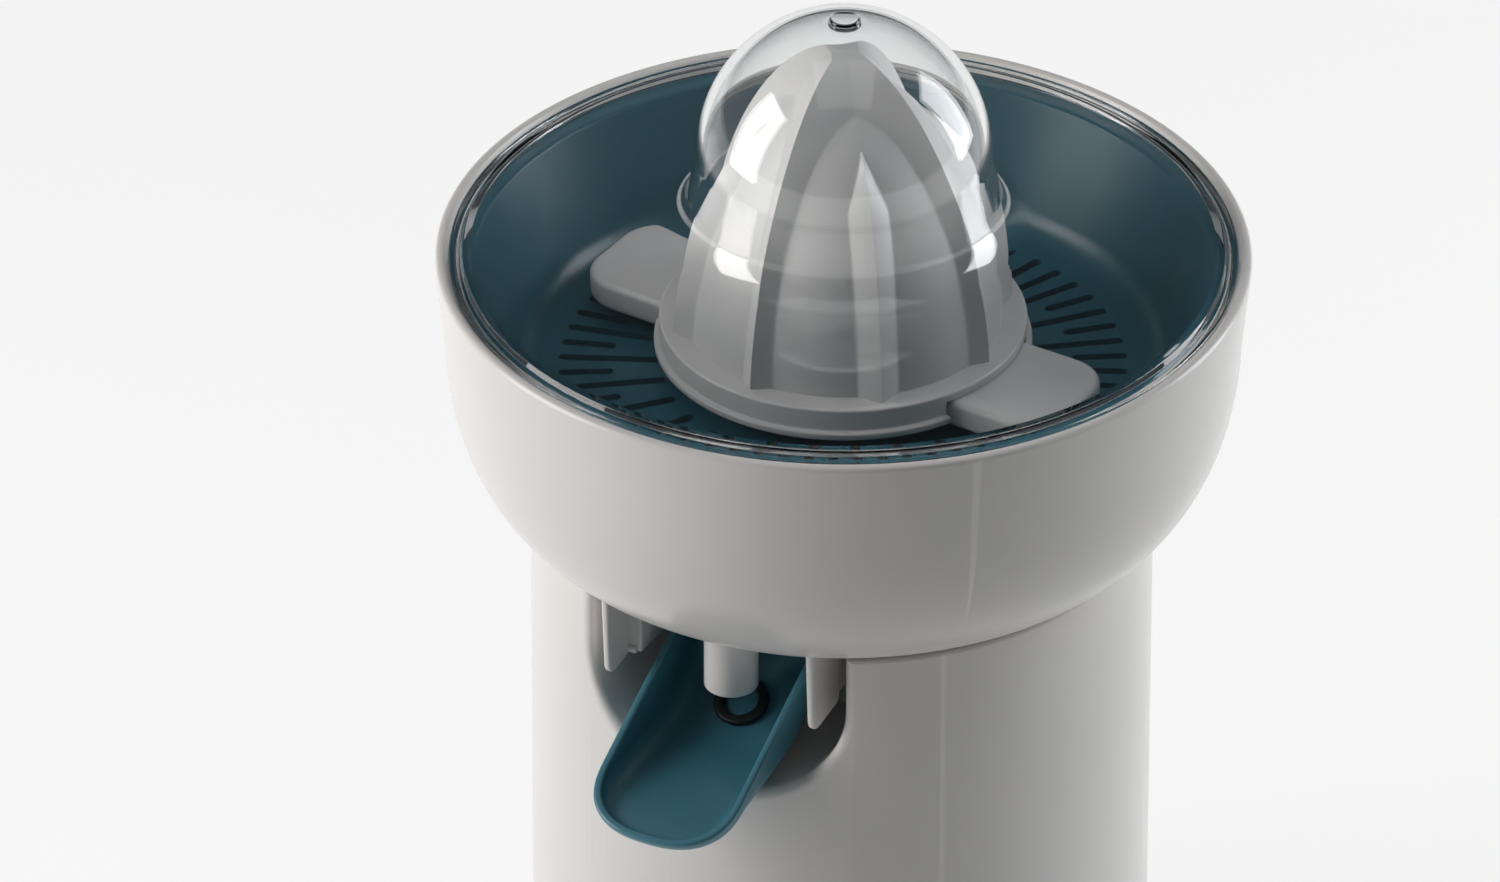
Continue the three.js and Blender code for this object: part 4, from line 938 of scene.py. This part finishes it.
def spout_seal():
    inner, outer = TUBE_RADIUS - 2.2, TUBE_RADIUS + 0.2
    low = SPOUT_FLOOR + GAP
    high = low + 1.2
    ring = rounded([(inner, low, 0.1), (outer, low, 0.1), (outer, high, 0.5), (inner, high, 0.5)], 5)
    verts, faces = [], []
    count, segments, ahead = len(ring), 96, PIVOT_Y - TUBE_Y
    for i in range(segments):
        angle = 2 * math.pi * i / segments
        for r, up in ring:
            verts.append(spout_point(r * math.cos(angle), ahead + r * math.sin(angle), up))
    for i in range(segments):
        here, following = i * count, (i + 1) % segments * count
        for j in range(count):
            k = (j + 1) % count
            faces.append((here + j, here + k, following + k, following + j))
    return finish_piece(build("seal_ring", verts, faces), SEAL, "spout_seal")


# ------------------------------------------------------------------ lid
LID_WALL = 1.8
DOME_HEIGHT = RIM + 23
DOME_RADIUS = 33.3
DOME_CAP = 35.0
LID_FILLET = 8.0


def lid():
    outer = RIM_RADIUS - BOWL_WALL - GAP
    foot = bottom_of("lid")
    neck = DOME_RADIUS + 1.3
    brim = RIM + 0.9
    brim_top = brim + 6.6
    nub = top_of("lid")
    crown = DOME_HEIGHT + DOME_CAP
    flare = arc(neck + LID_FILLET, brim_top + LID_FILLET, LID_FILLET, LID_FILLET, 266, 186, 12)
    flare_in = arc(neck + LID_FILLET, brim_top + LID_FILLET, LID_FILLET + LID_WALL, LID_FILLET + LID_WALL,
                   186, 266, 12)
    dome = arc(0, DOME_HEIGHT, DOME_RADIUS, DOME_CAP, 0, 83, 30)
    inside = arc(0, DOME_HEIGHT, DOME_RADIUS - LID_WALL, DOME_CAP - LID_WALL, 90, 0, 30)
    corners = [
        (outer - LID_WALL, foot, 0.4), (outer, foot, 0.4), (outer, RIM - 0.4, 0.8),
        (outer - 2.6, RIM - 0.4, 0.3), (outer - 3.2, brim, 0.5), (outer - 5, brim, 0.6),
    ]
    corners += sharp(flare) + sharp(dome)
    corners += [(3.0, crown + 0.05, 0.5), (3.5, nub - 0.7, 0.4), (3.1, nub, 0.4), (0, nub, 0)]
    corners += sharp(inside) + sharp(flare_in)
    corners += [(outer - 5, brim - LID_WALL, 0.5), (outer - LID_WALL, brim - LID_WALL - 1, 0.6)]
    cover = lathe("lid_cover", rounded(corners, 5), 256)
    return finish_piece(cover, CLEAR, "lid", crease=55)


# ------------------------------------------------------------------ small parts
def drive_shaft():
    low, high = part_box("drive_shaft")[0].z / MM, top_of("drive_shaft")
    collar = top_of("output_gear") + 15.7
    shaft = lathe("drive_spindle", rounded([
        (0, collar - 1, 0), (7.5, collar - 1, 0.4), (7.5, collar + 2, 0.4), (4.5, collar + 2, 0.3),
        (4.5, WING_BOTTOM, 0), (0, WING_BOTTOM, 0)]), 72)
    shaft = add(shaft, hex_rod("lower_hex", 4.5, low, collar, 0.4))
    shaft = add(shaft, hex_rod("upper_hex", 4.5, WING_BOTTOM - 1, high, 0.6))
    clip_low, clip_high = bottom_of("shaft_clip") - GAP, top_of("shaft_clip") + GAP
    groove = lathe("groove", [(3.5, clip_low), (7, clip_low), (7, clip_high), (3.5, clip_high)], 48)
    shaft = cut(shaft, groove)
    turn(shaft, REAMER_TURN)
    return finish_piece(shaft, STEEL, "drive_shaft")


def ring_part(node, material, corners, name, segments=72):
    return finish_piece(lathe(name, rounded(corners), segments), material, node)


def shaft_rings():
    low, high = bottom_of("deck_bush"), top_of("deck_bush")
    ring_part("deck_bush", BRASS, [
        (4.8, low, 0.3), (7, low, 0.4), (7, high, 0.4), (4.8, high, 0.3),
    ], "deck_sleeve")
    low, high = bottom_of("shaft_seal"), top_of("shaft_seal")
    ring_part("shaft_seal", RUBBER, [
        (4.8, low, 0.2), (7, low, 0.4), (7, high, 0.4),
        (6.2, high, 0.2), (5.6, high - 1, 0.2), (4.8, high, 0.3),
    ], "lip_seal")


def feet():
    for i in range(1, 5):
        node = f"rubber_foot_{i}"
        low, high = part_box(node)
        x, y = (low.x + high.x) / 2 / MM, ((low.y + high.y) / 2 - AXIS_Y) / MM
        cover_top, cover_low = top_of("base_cover"), bottom_of("base_cover")
        ring = rounded([
            (0, 0, 0), (5.2, 0, 0.3), (5.6, 0.5, 0.2), (6.2, 0.5, 0.2), (6.6, 0, 0.3), (8, 0, 1.2),
            (8, cover_low - GAP, 0.6), (2.7, cover_low - GAP, 0.2), (2.7, cover_top + GAP, 0.2),
            (3.9, cover_top + GAP, 0.2), (1.9, high.z / MM, 0.6), (0, high.z / MM, 0),
        ])
        finish_piece(lathe(f"foot_{i}", ring, 64, x, y), RUBBER, node)


def gland():
    low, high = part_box("cord_gland")
    inner, outer = (low.y - AXIS_Y) / MM, (high.y - AXIS_Y) / MM
    ring = rounded([
        (3.4, inner, 0.4), (5.7, inner, 0.6), (5.7, outer - 2, 0.2), (8, outer - 2, 0.4),
        (8, outer - 1, 0.5), (6.6, outer, 0.8), (3.4, outer, 0.5),
    ])
    grommet = lathe("cord_grommet", ring, 72)
    spin = Matrix.Rotation(math.radians(-90), 4, "X")
    lift = Matrix.Translation((0, AXIS_Y, 18 * MM))
    grommet.data.transform(lift @ spin @ Matrix.Translation((0, -AXIS_Y, 0)))
    return finish_piece(grommet, BLACK, "cord_gland")


# ------------------------------------------------------------------ studio
def area_light(name, location, target, width, height, power, colour=(1, 1, 1)):
    lamp = bpy.data.lights.new(name, "AREA")
    lamp.shape = "RECTANGLE"
    lamp.size, lamp.size_y, lamp.energy, lamp.color = width, height, power, colour
    obj = bpy.data.objects.new(name, lamp)
    obj.location = location
    obj.rotation_mode = "QUATERNION"
    obj.rotation_quaternion = (Vector(target) - Vector(location)).to_track_quat("-Z", "Y")
    bpy.context.scene.collection.objects.link(obj)
    return obj


def studio():
    """Pale floor, dim surroundings, and soft boxes to the left, to the right and overhead."""
    floor_mesh = bpy.data.meshes.new("floor")
    reach = 6.0
    floor_mesh.from_pydata([(-reach, -reach, 0), (reach, -reach, 0), (reach, reach, 0), (-reach, reach, 0)],
                           [], [(0, 1, 2, 3)])
    floor = bpy.data.objects.new("floor", floor_mesh)
    bpy.context.scene.collection.objects.link(floor)
    pale = Look("floor_paper", 0.7)
    pale.colour(pale.noise(3, 2), (0.62, 0.62, 0.62, 1), (0.64, 0.64, 0.64, 1))
    lit = pale.node("ShaderNodeEmission")
    lit.inputs["Strength"].default_value = 1.1
    paper, seen = pale.node("ShaderNodeMixShader"), pale.node("ShaderNodeMixShader")
    path = pale.node("ShaderNodeLightPath")
    # The glow is left out of diffuse bounces, so the floor doesn't light the press from below.
    paper.inputs["Fac"].default_value = 0.75
    links = pale.tree.links
    links.new(pale.shader.outputs["BSDF"], paper.inputs[1])
    links.new(lit.outputs["Emission"], paper.inputs[2])
    links.new(path.outputs["Is Diffuse Ray"], seen.inputs["Fac"])
    links.new(paper.outputs["Shader"], seen.inputs[1])
    links.new(pale.shader.outputs["BSDF"], seen.inputs[2])
    links.new(seen.outputs["Shader"], pale.tree.nodes["Material Output"].inputs["Surface"])
    floor_mesh.materials.append(pale.material)
    world = bpy.data.worlds.new("studio")
    world.use_nodes = True
    world.node_tree.nodes["Background"].inputs["Color"].default_value = (0.80, 0.90, 1.0, 1)
    world.node_tree.nodes["Background"].inputs["Strength"].default_value = 0.05
    bpy.context.scene.world = world
    heart = Vector((0, AXIS_Y, 0.17))
    ahead = Vector((BACK.x, BACK.y, 0)).normalized()
    up = Vector((0, 0, 1))
    area_light("softbox_left", heart - RIGHT * 0.95 + ahead * 0.12 + up * 0.34, heart, 0.5, 0.9, 8.2,
               (1.0, 0.985, 0.965))
    area_light("softbox_right", heart + RIGHT * 0.90 - ahead * 0.30 + up * 0.30, heart, 0.4, 0.8, 6.2,
               (0.96, 0.98, 1.0))
    area_light("ceiling", heart + ahead * 0.10 + up * 1.25, heart, 0.9, 0.9, 1.8)


CAMERA_AZIMUTH = math.radians(26.8)
CAMERA_ELEVATION = math.radians(32.7)
CAMERA_DISTANCE = 2.4
BACK = Vector((
    math.sin(CAMERA_AZIMUTH) * math.cos(CAMERA_ELEVATION),
    -math.cos(CAMERA_AZIMUTH) * math.cos(CAMERA_ELEVATION),
    math.sin(CAMERA_ELEVATION),
))
RIGHT = Vector((math.cos(CAMERA_AZIMUTH), math.sin(CAMERA_AZIMUTH), 0))
UP = BACK.cross(RIGHT)


def camera():
    """Looks down on the press from the front right, with the rim's centre right of and above the middle."""
    view_width = 0.3336
    across, above = 0.0208, 0.0430
    data = bpy.data.cameras.new("camera")
    data.sensor_width = 36
    data.lens = data.sensor_width * CAMERA_DISTANCE / view_width
    data.clip_start, data.clip_end = 0.1, 50
    obj = bpy.data.objects.new("camera", data)
    target = Vector((0, AXIS_Y, RIM * MM)) - RIGHT * across - UP * above
    obj.location = target + BACK * CAMERA_DISTANCE
    obj.rotation_mode = "QUATERNION"
    obj.rotation_quaternion = (-BACK).to_track_quat("-Z", "Y")
    bpy.context.scene.collection.objects.link(obj)
    bpy.context.scene.camera = obj
    bpy.context.scene.view_settings.view_transform = "Standard"


camera()
studio()
dress_cad_nodes()
juice_bowl()
base_housing()
strainer()
large_reamer()
small_reamer()
drip_spout()
spout_seal()
lid()
drive_shaft()
shaft_rings()
feet()
gland()
